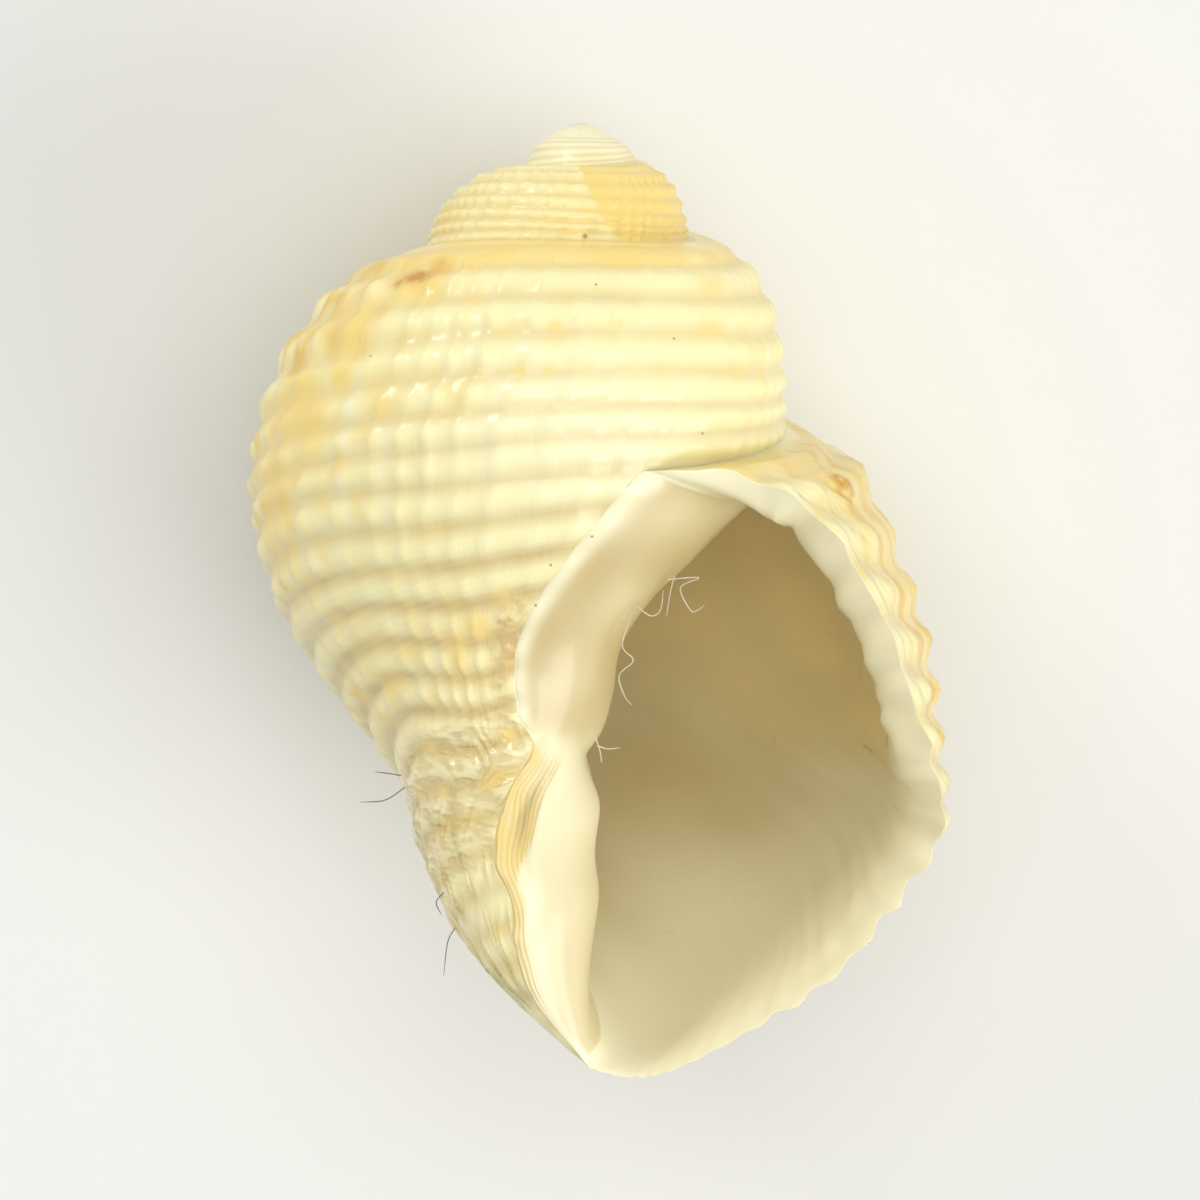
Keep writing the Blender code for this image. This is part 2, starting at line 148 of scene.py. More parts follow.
PILLAR_ROWS = (7, 7.5, 8.5, 10, 11.5, 12.5, 14, 15, 16.3, 18, 20, 21, 22, 23, 24)
PILLAR_TOP = (
    (9.07, 15.92), (8.12, 16.16), (5.89, 17.91), (3.66, 19.78), (2.51, 22.09), (2.87, 23.48), (2.63, 25.31),
    (2.17, 26.34),
)
PILLAR_AT_APERTURE = PILLAR_TOP + (
    (2.43, 27.86), (2.07, 29.84), (1.95, 31.83), (1.43, 33.82), (0.84, 35.81), (0.36, 37.33), (0.0, 38.0),
)
PILLAR_INSIDE = PILLAR_TOP + (
    (2.39, 28.45), (2.31, 31.04), (2.47, 33.82), (2.79, 35.81), (3.38, 37.41), (4.78, 38.4), (6.49, 38.84),
)
LOWEST_ROW_INSIDE = {-3.0: 13, -0.5: 13, -0.25: 15.2, -0.1: 19.5, -0.02: 24}
TIP_THICKNESS = 0.56
TIP_REACH = 0.23
CALLUS_THICKNESS = 0.25
CHINK_ROW = 16.8
CHINK_DEPTH = 0.8
GROWTH_LINE_RELIEF = 0.05
GROWTH_LINE_GAP = 0.02
FINE_LINE_GAP = 0.0065
SHIELD_STEP = 0.06

CORD_RELIEF = 0.24
LAST_SHARP_CORD = 14.5
SUTURE_DRIFT = 0.6
RIBS_PER_TURN = 40
RIB_RELIEF = 0.21
LAMELLAE_PER_TURN = 30
LAMELLA_RELIEF = 0.11
WRINKLE_RELIEF = 0.2
LIP_PIT_DEPTH = 0.45

AXIS_ROLL = math.radians(5.83)
MIDDLE = (-0.03193, -19.26415)
LOWEST = -8.36727


def cubic(u, start, leave, end, arrive):
    """A cubic from start to end as u goes from 0 to 1, with its slope at either end."""
    first = (1 + 2 * u) * (1 - u) ** 2 * start + u * (1 - u) ** 2 * leave
    return first + u**2 * (3 - 2 * u) * end + u**2 * (u - 1) * arrive


def curve(at, knots, values):
    """A smooth curve through the values at the knots: each span is a cubic that leaves and arrives with the
    weighted mean of the slopes of its neighbours. It stops at the end knots."""
    knots = np.asarray(knots, float)
    values = np.asarray(values, float)
    wide = (-1,) + (1,) * (values.ndim - 1)
    gaps = np.diff(knots)
    rises = np.diff(values, axis=0) / gaps.reshape(wide)
    share = (gaps[1:] / (gaps[1:] + gaps[:-1])).reshape(wide)
    slopes = np.concatenate([rises[:1], share * rises[:-1] + (1 - share) * rises[1:], rises[-1:]])
    at = np.clip(at, knots[0], knots[-1])
    span = np.clip(np.searchsorted(knots, at, side="right") - 1, 0, len(gaps) - 1)
    shape = at.shape + (1,) * (values.ndim - 1)
    gap = gaps[span].reshape(shape)
    u = (at.reshape(shape) - knots[span].reshape(shape)) / gap
    return cubic(u, values[span], gap * slopes[span], values[span + 1], gap * slopes[span + 1])


def by_row(table, row):
    """The value for a row, from a table of values by row."""
    knots = sorted(table)
    return curve(row, knots, [table[knot] for knot in knots])


def ease(x, start=0.0, width=1.0):
    """0 up to the start, 1 from a width after it, with level ends: three u squared less two u cubed, where u is
    the share of the width that x has passed."""
    u = np.clip((x - start) / width, 0, 1)
    return u * u * (3 - 2 * u)


def fade(x, start=0.0, width=1.0):
    """1 up to the start, 0 from a width after it: one less the eased step."""
    return 1 - ease(x, start, width)


def bell(x, middle=0.0, half_width=1.0):
    """1 in the middle and fading on both sides: e to the power of minus u squared, where u is the distance from
    the middle in half widths."""
    return np.exp(-np.square((x - middle) / half_width))


def crests(x):
    """1 at whole numbers and 0 halfway between them: half of one plus the cosine of whole turns."""
    return 0.5 + 0.5 * np.cos(2 * np.pi * x)


def mix(first, second, share):
    """Points between two sets of points."""
    share = np.asarray(share)[..., None]
    return first * (1 - share) + second * share


def unit(vectors):
    """The vectors brought to length 1."""
    return vectors / (np.linalg.norm(vectors, axis=-1, keepdims=True) + 1e-9)


def waves(points, size, seed, count=14):
    """A smooth random field from about -1 to 1: the mean of plane waves of about the given length, each in a
    random direction and at a random phase, times the root of their number."""
    random = np.random.default_rng(seed)
    heading = unit(random.normal(size=(count, points.shape[-1])))
    heading *= 2 * np.pi / (size * random.uniform(0.7, 1.5, (count, 1)))
    phase = random.uniform(0, 2 * np.pi, count)
    total = sum(np.sin(points @ heading[k] + phase[k]) for k in range(count))
    return total / math.sqrt(count)


def sections_by_turn():
    """Turns, and at each one the whole outside section divided by the widening so far."""
    every_row = np.arange(TIP_ROW + 1)
    front = curve(every_row, KEY_ROWS, FRONT_SECTION) / WIDENING**FRONT_TURN
    left = curve(every_row, KEY_ROWS, LEFT_SECTION) / WIDENING**LEFT_TURN
    right = curve(every_row, KEY_ROWS, RIGHT_SECTION)
    upper_rows = np.arange(SUTURE_ROW + 1)
    sections = {}
    for turn, points in SPIRE_SECTIONS.items():
        upper = curve(upper_rows, KEY_ROWS[:6], points) / WIDENING**turn
        kept = np.clip(1 - (every_row - SUTURE_ROW) / 6, 0, 1)[:, None]
        whole = front + (upper[-1] - front[SUTURE_ROW]) * kept
        whole[: SUTURE_ROW + 1] = upper
        sections[turn] = whole
    sections[FRONT_TURN] = front
    sections[LEFT_TURN] = left
    sections[0.0] = right
    lip = right.copy()
    lip[: SUTURE_ROW + 1] = curve(upper_rows, KEY_ROWS[:6], LIP_TOP)
    sections[LIP_TURN] = lip / WIDENING**LIP_TURN
    turns = sorted(sections)
    return np.array(turns), np.array([sections[turn] for turn in turns])


KEY_TURNS, KEY_SECTIONS = sections_by_turn()


def section(turn, cord):
    """Smooth outside points as (radius, drop), a cubic through each four neighbouring rows, and the directions
    away from the shell wall there, square to that cubic."""
    turn, cord = np.broadcast_arrays(turn, cord)
    rows = curve(turn.ravel(), KEY_TURNS, KEY_SECTIONS)
    below = np.clip(np.floor(cord.ravel()).astype(int), 0, TIP_ROW - 1)
    u = (cord.ravel() - below)[:, None]
    each = np.arange(rows.shape[0])
    before, start, end, after = (rows[each, np.clip(below + k, 0, TIP_ROW)] for k in (-1, 0, 1, 2))
    leave = np.where(below[:, None] > 0, (end - before) / 2, end - start)
    arrive = np.where(below[:, None] < TIP_ROW - 1, (after - start) / 2, end - start)
    point = cubic(u, start, leave, end, arrive)
    along = (6 * u * u - 6 * u) * (start - end)
    along += (3 * u * u - 4 * u + 1) * leave + (3 * u * u - 2 * u) * arrive
    outwards = unit(np.stack([along[:, 1], -along[:, 0]], axis=-1))
    size = (WIDENING ** turn.ravel())[:, None]
    return (point * size).reshape(turn.shape + (2,)), outwards.reshape(turn.shape + (2,))


def cord_at(row, turn):
    """Cord number at a row. The last suture slips down over the cords of the whorl it covers."""
    slip = ease(turn, -1.1, 0.29) * fade(turn, -0.8, 0.35)
    near = np.clip(1 - np.abs(row - SUTURE_ROW), 0, 1)
    return row + SUTURE_DRIFT * slip * near


def crest_at(row, turn):
    """Cord crest number at a row: crests keep to the rows at the front and at the lip, and wander off them by
    up to one cord on the left-hand side."""
    off = by_row(CREST_DRIFT, row) * ease(turn, -0.7, 0.14) * fade(turn, -0.5, 0.45)
    return cord_at(row, turn) + off


def lip_edge(row):
    """The turn of the lip edge, which waves a little with the cords that run into it."""
    wave = np.cos(2 * np.pi * row) * ease(row, 0.5, 1.5) * fade(row, 12, 3)
    return by_row(LIP_EDGE, row) + LIP_WAVE * wave


def relief_size(turn, most):
    """Size of the relief on a whorl: the widening to the power of 0.8 times the turns from the left-hand side,
    up to the most."""
    return np.clip(WIDENING ** (0.8 * (turn - LEFT_TURN)), 0, most)


def cords(cord, turn):
    """Height of the cords: rounded crests at whole numbers, with narrower grooves, fading on the base and on
    the oldest whorl, lower on the front and uneven behind the lip."""
    fades = ease(cord, 0.3, 0.7) * (1 - 0.75 * ease(cord, LAST_SHARP_CORD, 3)) * fade(cord, 22.5, 1.5)
    fades *= 0.1 + 0.9 * ease(turn, -2.3, 0.35)
    fades *= 1 - 0.3 * bell(turn, -0.7, 0.25) * bell(cord, 6, 5)
    uneven = 0.8 + 0.5 * np.sin(2.1 * cord)
    fades *= 1 - 0.6 * ease(turn, -0.13, 0.1) * ease(cord, 8, 3) * uneven
    return CORD_RELIEF * relief_size(turn, 1.15) * fades * (crests(cord) ** 0.8 - 0.55)


def ribs(cord, turn):
    """Height of the growth ribs, forty to a turn, unevenly spaced and bowed: narrow crests, higher where they
    cross a cord, each with its own strength, strongest on the shoulder and gone at the suture and the base."""
    drift = 0.35 * np.sin(2 * np.pi * 3.3 * turn + 1.0) + 0.22 * np.sin(2 * np.pi * 7.7 * turn + 0.4)
    bow = 0.35 * np.sin(0.45 * cord + 0.6) + 0.1 * np.sin(1.9 * cord + 9 * turn)
    phase = RIBS_PER_TURN * turn + drift + bow
    number = np.floor(phase + 0.5)
    own = 0.65 + 0.35 * np.sin(2.4 * number) * np.cos(0.9 * cord + 1.7 * number)
    knot = 0.55 + 0.9 * crests(cord)
    size = relief_size(turn, 1.1) * ease(turn, -2.3, 0.3)
    fades = ease(cord, 0.9, 0.8) * fade(cord, 12.5, 3) * (1 - 0.4 * ease(cord, 8, 2))
    fades *= 1 - 0.3 * bell(turn, -0.74, 0.11) * ease(cord, 5, 3)
    fades *= 1 - 0.35 * bell(turn, -0.86, 0.1)
    return RIB_RELIEF * size * own * knot * crests(phase) ** 2.2 * fades


def lamellae(row, turn):
    """Height of the growth layers behind the lip: steps that follow the lip edge, about thirty to a turn,
    uneven and waving with the cords, each a saw tooth with an eased drop."""
    behind = lip_edge(row) - turn
    waving = 0.2 * np.sin(2 * np.pi * row + 14 * behind) + 0.12 * np.sin(3.7 * row)
    saw = (LAMELLAE_PER_TURN * behind + 0.5 * np.sin(37 * behind + 1) + waving) % 1
    zone = ease(behind / 0.006) * fade(behind, 0.09, 0.08) * ease(row, 0.4, 0.8)
    return LAMELLA_RELIEF * (saw * fade(saw, 0.72, 0.28) - 0.3) * zone * (1 - 0.8 * ease(row, 12, 5))


def wrinkles(row, turn):
    """Height of the wrinkles on the ridge round the base: crowded, wavy growth lines that slant over the ridge
    and stand upright below it, as crests of the turn, the row and a random field."""
    wander = waves(np.stack([row * 0.55, turn * 60], axis=-1), 3.0, 5)
    slanting = crests(9 * turn + 1.5 * row + 0.6 * wander) ** 1.3
    slanting *= ease(row, 12.8, 1.2) * fade(row, 16.8, 1.6)
    upright = crests(66 * turn + 0.9 * np.sin(1.5 * row) + 0.8 * wander) ** 1.3
    upright *= ease(row, 16.4, 1.6) * fade(row, 20.5, 2)
    rough = 0.6 + 0.4 * waves(np.stack([row * 1.3, turn * 40], axis=-1), 2.2, 8)
    zone = fade(turn, -0.3, 0.15)
    return WRINKLE_RELIEF * zone * (0.8 * slanting + 0.75 * upright - 0.2 * ease(row, 12.6, 1.6)) * rough


def relief(row, turn):
    """Height of all that is raised on the outside: cords, ribs, lamellae and wrinkles added up."""
    crest = crest_at(row, turn)
    return cords(crest, turn) + ribs(crest, turn) + lamellae(row, turn) + wrinkles(row, turn)


def lip_pit(row, behind):
    """Depth of the small crack in the lip: a bell across a short line that slants over the growth layers."""
    along = (row - 2.2) / 0.25
    return LIP_PIT_DEPTH * bell(along) * bell(behind - 0.005 * along, 0.05, 0.0045)


def outside(row, turn, fine=True):
    """Outside points as (radius, drop): the smooth section, whose last rows run to the one tip that all turns
    share, moved outwards by the relief unless it is left out."""
    cord = cord_at(row, turn)
    point, outwards = section(turn, cord)
    last_drop = section(turn, np.full(np.shape(turn), float(TIP_ROW)))[0][..., 1]
    point[..., 1] += (TIP_DROP - last_drop) * ease(cord, 20, TIP_ROW - 20)
    if not fine:
        return point
    height = relief(row, turn) - lip_pit(row, lip_edge(row) - turn)
    return point + outwards * height[..., None]


def in_space(points, turn):
    """Puts (radius, drop) points round the centre line at the given turns, with the apex rounded to a dome."""
    radius, drop = points[..., 0], points[..., 1]
    drop = (drop**DOME_POWER + DOME_DROP**DOME_POWER) ** (1 / DOME_POWER)
    dome = DOME_SHIFT * bell(drop, DOME_DROP, DOME_FADE)
    bend = np.clip((drop - BEND_START) / (TIP_DROP - BEND_START), 0, 1.02) ** BEND_POWER
    angle = -2 * np.pi * turn
    x = TIP_SHIFT[0] * bend + radius * np.cos(angle) + dome
    y = TIP_SHIFT[1] * bend + radius * np.sin(angle)
    return np.stack([x, y, -drop], axis=-1)


def worn_apex(points):
    """Moves the (radius, drop) points nearest the centre line onto a bowl, whose drop grows with the radius to
    the power of 1.5 and which gives way to the whorls between one and two millimetres out."""
    radius, drop = points[..., 0], points[..., 1]
    bowl = (DOME_DROP + APEX_BOWL * np.abs(radius) ** 1.5) ** DOME_POWER - DOME_DROP**DOME_POWER
    bowl = bowl ** (1 / DOME_POWER)
    share = fade(radius, 1.0, 1.3) * (drop < 6)
    return np.stack([radius, drop * (1 - share) + bowl * share], axis=-1)


def corner_of_hollow(turn):
    """The upper corner of the hollow, which meets the outside where the lip is attached."""
    join = outside(np.array([float(SUTURE_ROW)]), np.array([LIP_JOIN_TURN - 1]))[0]
    inside = np.array(HOLLOW_CORNER) * (WIDENING ** np.minimum(turn, 0))[..., None]
    return mix(inside, join, ease(turn / LIP_JOIN_TURN))


def edge_rounding(behind):
    """From 0 at the lip edge to 1 where the wall has its full thickness."""
    return 1 - (1 - np.clip(behind / LIP_ROUNDING, 0, 1)) ** 2.2


def bevel(row, behind):
    """Extra thickness just inside the lip, which makes its broad pale inner edge: it rises at once behind the
    edge, waves a little along it, and falls away deeper in."""
    rises = 1 - (1 - np.clip(behind / 0.02, 0, 1)) ** 2
    waves_of_edge = 1 + 0.06 * np.sin(5.1 * row) + 0.05 * np.sin(9.7 * row + 1)
    return by_row(BEVEL, row) * waves_of_edge * rises * fade(behind, 0.022, 0.15)


def tip_of_hollow(turn, behind):
    """The lower end of the hollow, which meets the outside at the tip."""
    level = np.stack([0 * turn, TIP_DROP - TIP_THICKNESS * edge_rounding(behind)], axis=-1)
    inside = np.array(PILLAR_INSIDE[-1]) * (WIDENING**turn)[..., None]
    return mix(level, inside, ease((LIP_END_TURN - turn) / TIP_REACH))


def hollow_under_outside(row, depth):
    """Hollow points under the outside and their turns: the outside section moved inwards by the wall's
    thickness, from 0 deep at the lip to 1 at the end."""
    turn = lip_edge(row) * (1 - depth) + HOLLOW_END_TURN * depth
    lowest = by_row(LOWEST_ROW_INSIDE, turn)
    cord = cord_at(row, turn) * lowest / TIP_ROW
    kept = np.maximum(turn, LEFT_TURN)
    point, outwards = section(kept, cord)
    point *= (WIDENING ** (turn - kept))[..., None]
    behind = lip_edge(row) - turn
    lip_height = relief(row, turn) * (1 - np.clip(behind / LIP_ROUNDING, 0, 1)) ** 2
    back = BACK_THICKENING * bell(turn, BACK_TURN, 0.11) * bell(row, 8, 4.5)
    size = WIDENING ** np.minimum(turn, 0)
    inset = (by_row(WALL, row) + back) * edge_rounding(behind) * size + bevel(row, behind)
    point += outwards * (lip_height - inset)[..., None]
    point = mix(point, corner_of_hollow(turn), ease(1 - row))
    clear = PILLAR_INSIDE[-1][0] * size * ease((LIP_END_TURN - turn) / TIP_REACH)
    point[..., 0] = np.maximum(point[..., 0], clear * ease(behind / 0.03) * ease(row, 20, 4))
    return mix(point, tip_of_hollow(turn, behind), ease(row, 22, 2)), turn


def hollow_over_pillar(row, depth):
    """Hollow points over the callus, the whorl above and the pillar, and their turns. The pillar's profile is
    mixed with the outside that the callus covers. The callus, the chink with its growth lines, the step of the
    shield and the folds are added to the radius."""
    start_turn = by_row(CALLUS_EDGE, row)
    haste = 1 + 7 * ease(row, 17.5, 5.5)
    turn = LIP_END_TURN * (1 - depth) + HOLLOW_END_TURN * depth
    turn += (start_turn - LIP_END_TURN) * (1 - depth) ** haste
    size = (WIDENING ** np.minimum(turn, 0))[..., None]
    aperture = curve(row, PILLAR_ROWS, PILLAR_AT_APERTURE) * size
    pillar = mix(aperture, curve(row, PILLAR_ROWS, PILLAR_INSIDE) * size, ease(-turn / 0.25))
    behind = start_turn - turn
    covered = outside(row, start_turn - 1, fine=False)
    covered = mix(outside(row, start_turn - 1), covered, ease(behind / 0.018))
    point = mix(pillar, covered, np.clip(turn / start_turn, 0, 1) ** 1.15)
    callus = CALLUS_THICKNESS * (1 - np.exp(-behind / 0.007)) * fade(behind / 0.2)
    chink = CHINK_DEPTH * bell(row, CHINK_ROW, 1.2) * bell(behind, 0.028, 0.014)
    lines = GROWTH_LINE_RELIEF * np.sin(2 * np.pi * behind / GROWTH_LINE_GAP + 0.8 * np.sin(1.3 * row))
    lines *= ease(row, 15, 0.8) * fade(row, 22, 1) * fade(behind, 0.042, 0.02)
    shield = SHIELD_STEP * ease(behind, 0.05, 0.012) * ease(row, 15.6, 1) * fade(behind, 0.09, 0.08)
    folds = -0.25 - 0.45 * bell(row, 14.9, 0.75) + 0.1 * bell(row, 16.4, 0.7)
    folds *= bell(turn, 0.12, 0.11) * ease(row, 11.5, 1.5)
    raised = (callus - chink + lines + shield + folds) * (row > SUTURE_ROW + 0.4)
    point[..., 0] += raised * ease((TIP_ROW - row) / 2)
    return mix(point, corner_of_hollow(turn), ease(SUTURE_ROW + 1 - row)), turn


def outside_grid(rows):
    """Points, rows and turns of the outside, column by column from the apex to the lip. The last whorl is
    warped so that it begins on the callus edge and ends on the lip edge, and the columns stand closer together
    on the side of the mouth, by a sine of the turn."""
    columns = round(SPIRAL_TURNS * COLUMNS_PER_TURN) + 1
    even = LIP_JOIN_TURN + (np.arange(columns) - columns + 1) / COLUMNS_PER_TURN
    crowded = np.sin(2 * np.pi * (even - CROWDED_TURN)) - math.sin(2 * np.pi * (LIP_JOIN_TURN - CROWDED_TURN))
    even -= CROWDING / (2 * np.pi) * crowded
    even, row = np.meshgrid(even, rows, indexing="ij")
    to_lip = (lip_edge(row) - LIP_JOIN_TURN) * np.clip((even + 0.25) / (LIP_JOIN_TURN + 0.25), 0, 1) ** 1.3
    last_whorl = even > LIP_JOIN_TURN - 1 - 1e-9
    from_callus = (by_row(CALLUS_EDGE, row) - LIP_JOIN_TURN) * last_whorl * (row > SUTURE_ROW)
    turn = even + to_lip + from_callus * np.clip(1 - (even - LIP_JOIN_TURN + 1) / 0.5, 0, 1)
    points = in_space(worn_apex(outside(row, turn)), turn)
    gap = points[:-COLUMNS_PER_TURN, rows == SUTURE_ROW] - points[COLUMNS_PER_TURN:, :1]
    points[COLUMNS_PER_TURN:] += gap * np.clip(1 - rows, 0, 1)[None, :, None]
    return points, row, turn


def lay_down(points):
    """Turns growth-frame points into the resting pose, upright in the picture, in metres, and flat where the
    shell touches the floor."""
    across, away, up = np.moveaxis(points, -1, 0)
    right = across * math.cos(AXIS_ROLL) + up * math.sin(AXIS_ROLL)
    up = up * math.cos(AXIS_ROLL) - across * math.sin(AXIS_ROLL)
    laid = np.stack([right, up, -away], axis=-1) @ VIEW_AXES - (*MIDDLE, LOWEST)
    laid[..., 2] = np.maximum(laid[..., 2], 0)
    return laid / 1000


def relaxed(rings, rim, share):
    """Smooths the rings of the hollow where share is above 0: again and again each point moves part of the way
    to the mean of its four neighbours, while the rim stays."""
    for _ in range(RELAXING_ROUNDS):
        whole = np.concatenate([rim[None], rings, rings[-1:]])
        mean = (whole[:-2] + whole[2:] + np.roll(rings, 1, axis=1) + np.roll(rings, -1, axis=1)) / 4
        rings = mix(rings, mean, RELAXING_STEP * share)
    return rings


def quads(numbers):
    """Four-sided faces of a grid of point numbers."""
    corners = (numbers[:-1, :-1], numbers[1:, :-1], numbers[1:, 1:], numbers[:-1, 1:])
    return np.stack([corner.ravel() for corner in corners], axis=1)


def fan(loop, centre):
    """Triangles from a closed loop to one point."""
    return np.stack([np.roll(loop, -1), loop, np.full(len(loop), centre)], axis=1)


def shell_grids():
    """Grid points of the outside and of the hollow, what the material needs to know about each, the number of
    the point that each is welded to, and the four-sided and three-sided faces. The outside is wound along the
    spiral, and the hollow is drawn inwards ring by ring from its rim."""
    rows = np.linspace(0, TIP_ROW, TIP_ROW * ROWS_PER_CORD + 1)
    points, row, turn = outside_grid(rows)
    grid = np.arange(row.size).reshape(row.shape)
    suture = SUTURE_ROW * ROWS_PER_CORD
    last_whorl = len(grid) - 1 - COLUMNS_PER_TURN
    weld = grid.copy()
    weld[COLUMNS_PER_TURN:, 0] = grid[:-COLUMNS_PER_TURN, suture]
    tip = grid.size
    apex = tip + 1
    weld[:, -1] = tip
    weld = np.r_[weld.ravel(), tip, apex]
    ends = in_space(np.array([[0.0, TIP_DROP], [0.0, 0.0]]), np.zeros(2))
    places = np.concatenate([points.reshape(-1, 3), ends])
    facts = {
        "row": np.r_[cord_at(row, turn).ravel(), TIP_ROW, 0],
        "crest": np.r_[crest_at(row, turn).ravel(), TIP_ROW, 0],
        "turn": np.r_[turn.ravel(), 0, -3],
        "behind": np.r_[(lip_edge(row) - turn).ravel(), 0, 3],
        "side": np.full(apex + 1, OUTSIDE),
    }
    strip = quads(grid[: last_whorl + 1, : suture + 1])
    whorl = quads(grid[last_whorl:, :-1])
    tips = np.full(COLUMNS_PER_TURN, tip)
    beak = np.stack([grid[last_whorl + 1 :, -2], tips, grid[last_whorl:-1, -2]], axis=1)
    top = np.r_[grid[: COLUMNS_PER_TURN + 1, 0], grid[0, suture - 1 : 0 : -1]]
    rim = np.r_[grid[-1, :-1], tip, grid[last_whorl, -2:suture:-1]]

    pillar_rows = rows[-2:suture:-1]
    depth = (np.arange(1, HOLLOW_RINGS + 1) / HOLLOW_RINGS)[:, None] ** RING_CROWDING
    outer_row, outer_depth = np.broadcast_arrays(rows[None], depth)
    pillar_row, pillar_depth = np.broadcast_arrays(pillar_rows[None], depth)
    lip_side, lip_turns = hollow_under_outside(outer_row, outer_depth)
    pillar_side, pillar_turns = hollow_over_pillar(pillar_row, pillar_depth)
    rings = np.concatenate([in_space(lip_side, lip_turns), in_space(pillar_side, pillar_turns)], axis=1)
    ring_row = np.r_[rows, pillar_rows]
    ring_turn = np.concatenate([lip_turns, pillar_turns], axis=1)
    start = np.r_[lip_edge(rows), by_row(CALLUS_EDGE, pillar_rows)]
    near_mouth = ease(start - ring_turn, 0.004, 0.02) * ease(ring_turn, -0.6, 0.2)
    near_corner = ease((9.5 - ring_row) / 2) * (np.arange(len(ring_row)) >= len(rows)) + ease(1.6 - ring_row)
    shares = np.maximum(ease(ring_row, 19.5, 2.5) * near_mouth, np.clip(near_corner * near_mouth, 0, 1))
    rings = relaxed(rings, places[rim], shares)
    ring_numbers = len(places) + np.arange(ring_turn.size).reshape(ring_turn.shape)
    rim_copy = ring_numbers[-1, -1] + 1 + np.arange(len(rim))
    end = rim_copy[-1] + 1
    ring_grid = np.concatenate([rim_copy[None], ring_numbers])
    closed = np.concatenate([ring_grid, ring_grid[:, :1]], axis=1)
    places = np.concatenate([places, rings.reshape(-1, 3), places[rim], rings[-1].mean(axis=0)[None]])
    weld = np.r_[weld, ring_numbers.ravel(), weld[rim], end]

    side = np.repeat([LIP_SIDE, PILLAR_SIDE], [len(rows), len(pillar_rows)])
    hollow_rows = np.r_[np.broadcast_to(ring_row, ring_turn.shape).ravel(), ring_row, 10]
    hollow_facts = {
        "row": hollow_rows,
        "crest": hollow_rows,
        "turn": np.r_[ring_turn.ravel(), start, HOLLOW_END_TURN],
        "behind": np.r_[(start - ring_turn).ravel(), 0 * start, 3],
        "side": np.r_[np.broadcast_to(side, ring_turn.shape).ravel(), side, LIP_SIDE],
    }
    facts = {name: np.r_[facts[name], hollow_facts[name]] for name in facts}
    four = np.concatenate([strip, whorl, quads(closed)])
    three = np.concatenate([beak, fan(top, apex), fan(ring_grid[-1], end)])
    return places, facts, weld, four, three


# Coloured growth bands of the lip: how far behind the edge by row, half width and strength.
LIP_BANDS = (
    ({0: 0.13, 1: 0.1, 2: 0.05, 3: 0.042, 4: 0.034, 6: 0.03, 9: 0.024, 14: 0.02}, 0.0055, 1.0),
    ({0: 0.08, 1: 0.05, 2: 0.027, 3: 0.022, 4: 0.018, 6: 0.016, 9: 0.012, 14: 0.01}, 0.004, 0.55),
    ({0: 0.18, 2: 0.085, 4: 0.06, 6: 0.055, 9: 0.05, 14: 0.04}, 0.007, 0.75),
    ({0: 0.24, 2: 0.13, 4: 0.1, 6: 0.09, 9: 0.08, 14: 0.07}, 0.006, 0.6),
)

# Pale growth streaks down the last whorl: turn and strength.
STREAKS = ((-0.612, 0.9), (-0.64, 0.8), (-0.655, 0.4), (-0.706, 0.7), (-0.735, 0.5), (-0.79, 0.5))

# Soft patches of colour where the camera sees them: millimetres right of and above the middle of the view,
# half width, half height and strength. The specks have only a place.
SUTURE_STAIN = ((-7.4, 12.98, 0.75, 0.25, 1.0), (-8.1, 12.7, 0.35, 0.25, 0.8), (-0.4, 14.6, 0.12, 0.12, 1.0))
ORANGE_PATCHES = ((-6.5, 13.25, 0.75, 0.5, 1.0), (-7.6, 12.9, 1.2, 0.4, 0.7), (-10.5, 12.0, 0.7, 0.6, 0.8))
OCHRE_PATCHES = (
    (-10.2, 10.8, 1.9, 1.9, 1.0), (-12.0, 7.6, 1.3, 2.8, 1.0), (-13.1, 3.8, 0.9, 3.2, 0.9),
    (-8.4, 9.0, 1.6, 0.9, 0.45), (-7.6, 12.4, 1.8, 0.8, 0.9), (-12.6, -1.5, 0.9, 2.2, 0.6),
    (-5.6, 13.5, 1.4, 0.6, 0.9), (-8.5, 7.9, 1.3, 0.9, 0.6), (-5.8, 8.2, 1.2, 0.8, 0.5),
    (-1.6, 10.9, 0.35, 0.3, 0.8), (0.7, 10.9, 0.4, 0.3, 0.8), (-3.3, 9.0, 0.35, 0.35, 0.7),
    (-1.8, 9.2, 0.3, 0.3, 0.7), (-4.2, 9.9, 0.5, 0.35, 0.35), (2.6, 9.3, 0.8, 0.35, 0.4),
    (4.7, 12.6, 1.3, 1.0, 0.5), (6.3, 10.2, 0.7, 1.5, 0.35), (-9.6, -1.5, 1.8, 1.6, 0.4),
    (-6.0, -2.6, 2.0, 0.8, 0.3),
)
DEPOSIT = ((-3.8, -1.8, 0.7, 1.6, 0.9), (-3.3, -0.2, 0.5, 0.9, 0.5), (-4.2, -3.2, 0.6, 0.8, 0.6))
CHINK_OCHRE = ((-3.2, -7.6, 0.75, 1.5, 1.0), (-3.9, -9.2, 0.55, 1.3, 1.0), (-2.5, -6.6, 0.5, 0.7, 0.9))
LIP_STAINS = (
    (9.8, 4.7, 0.32, 0.28, 1.0), (9.4, 4.95, 0.28, 0.16, 0.8), (10.2, 4.2, 0.22, 0.35, 0.9),
    (10.65, -5.8, 0.15, 0.4, 0.6),
)
SPECKS = (
    (-9.27, 9.8), (0.0, 12.6), (3.06, 10.35), (-1.75, 1.3), (-2.75, -0.4), (-0.1, 2.5), (4.2, 6.6),
    (10.5, -13.5),
)
SEARCH_REACH = 0.22
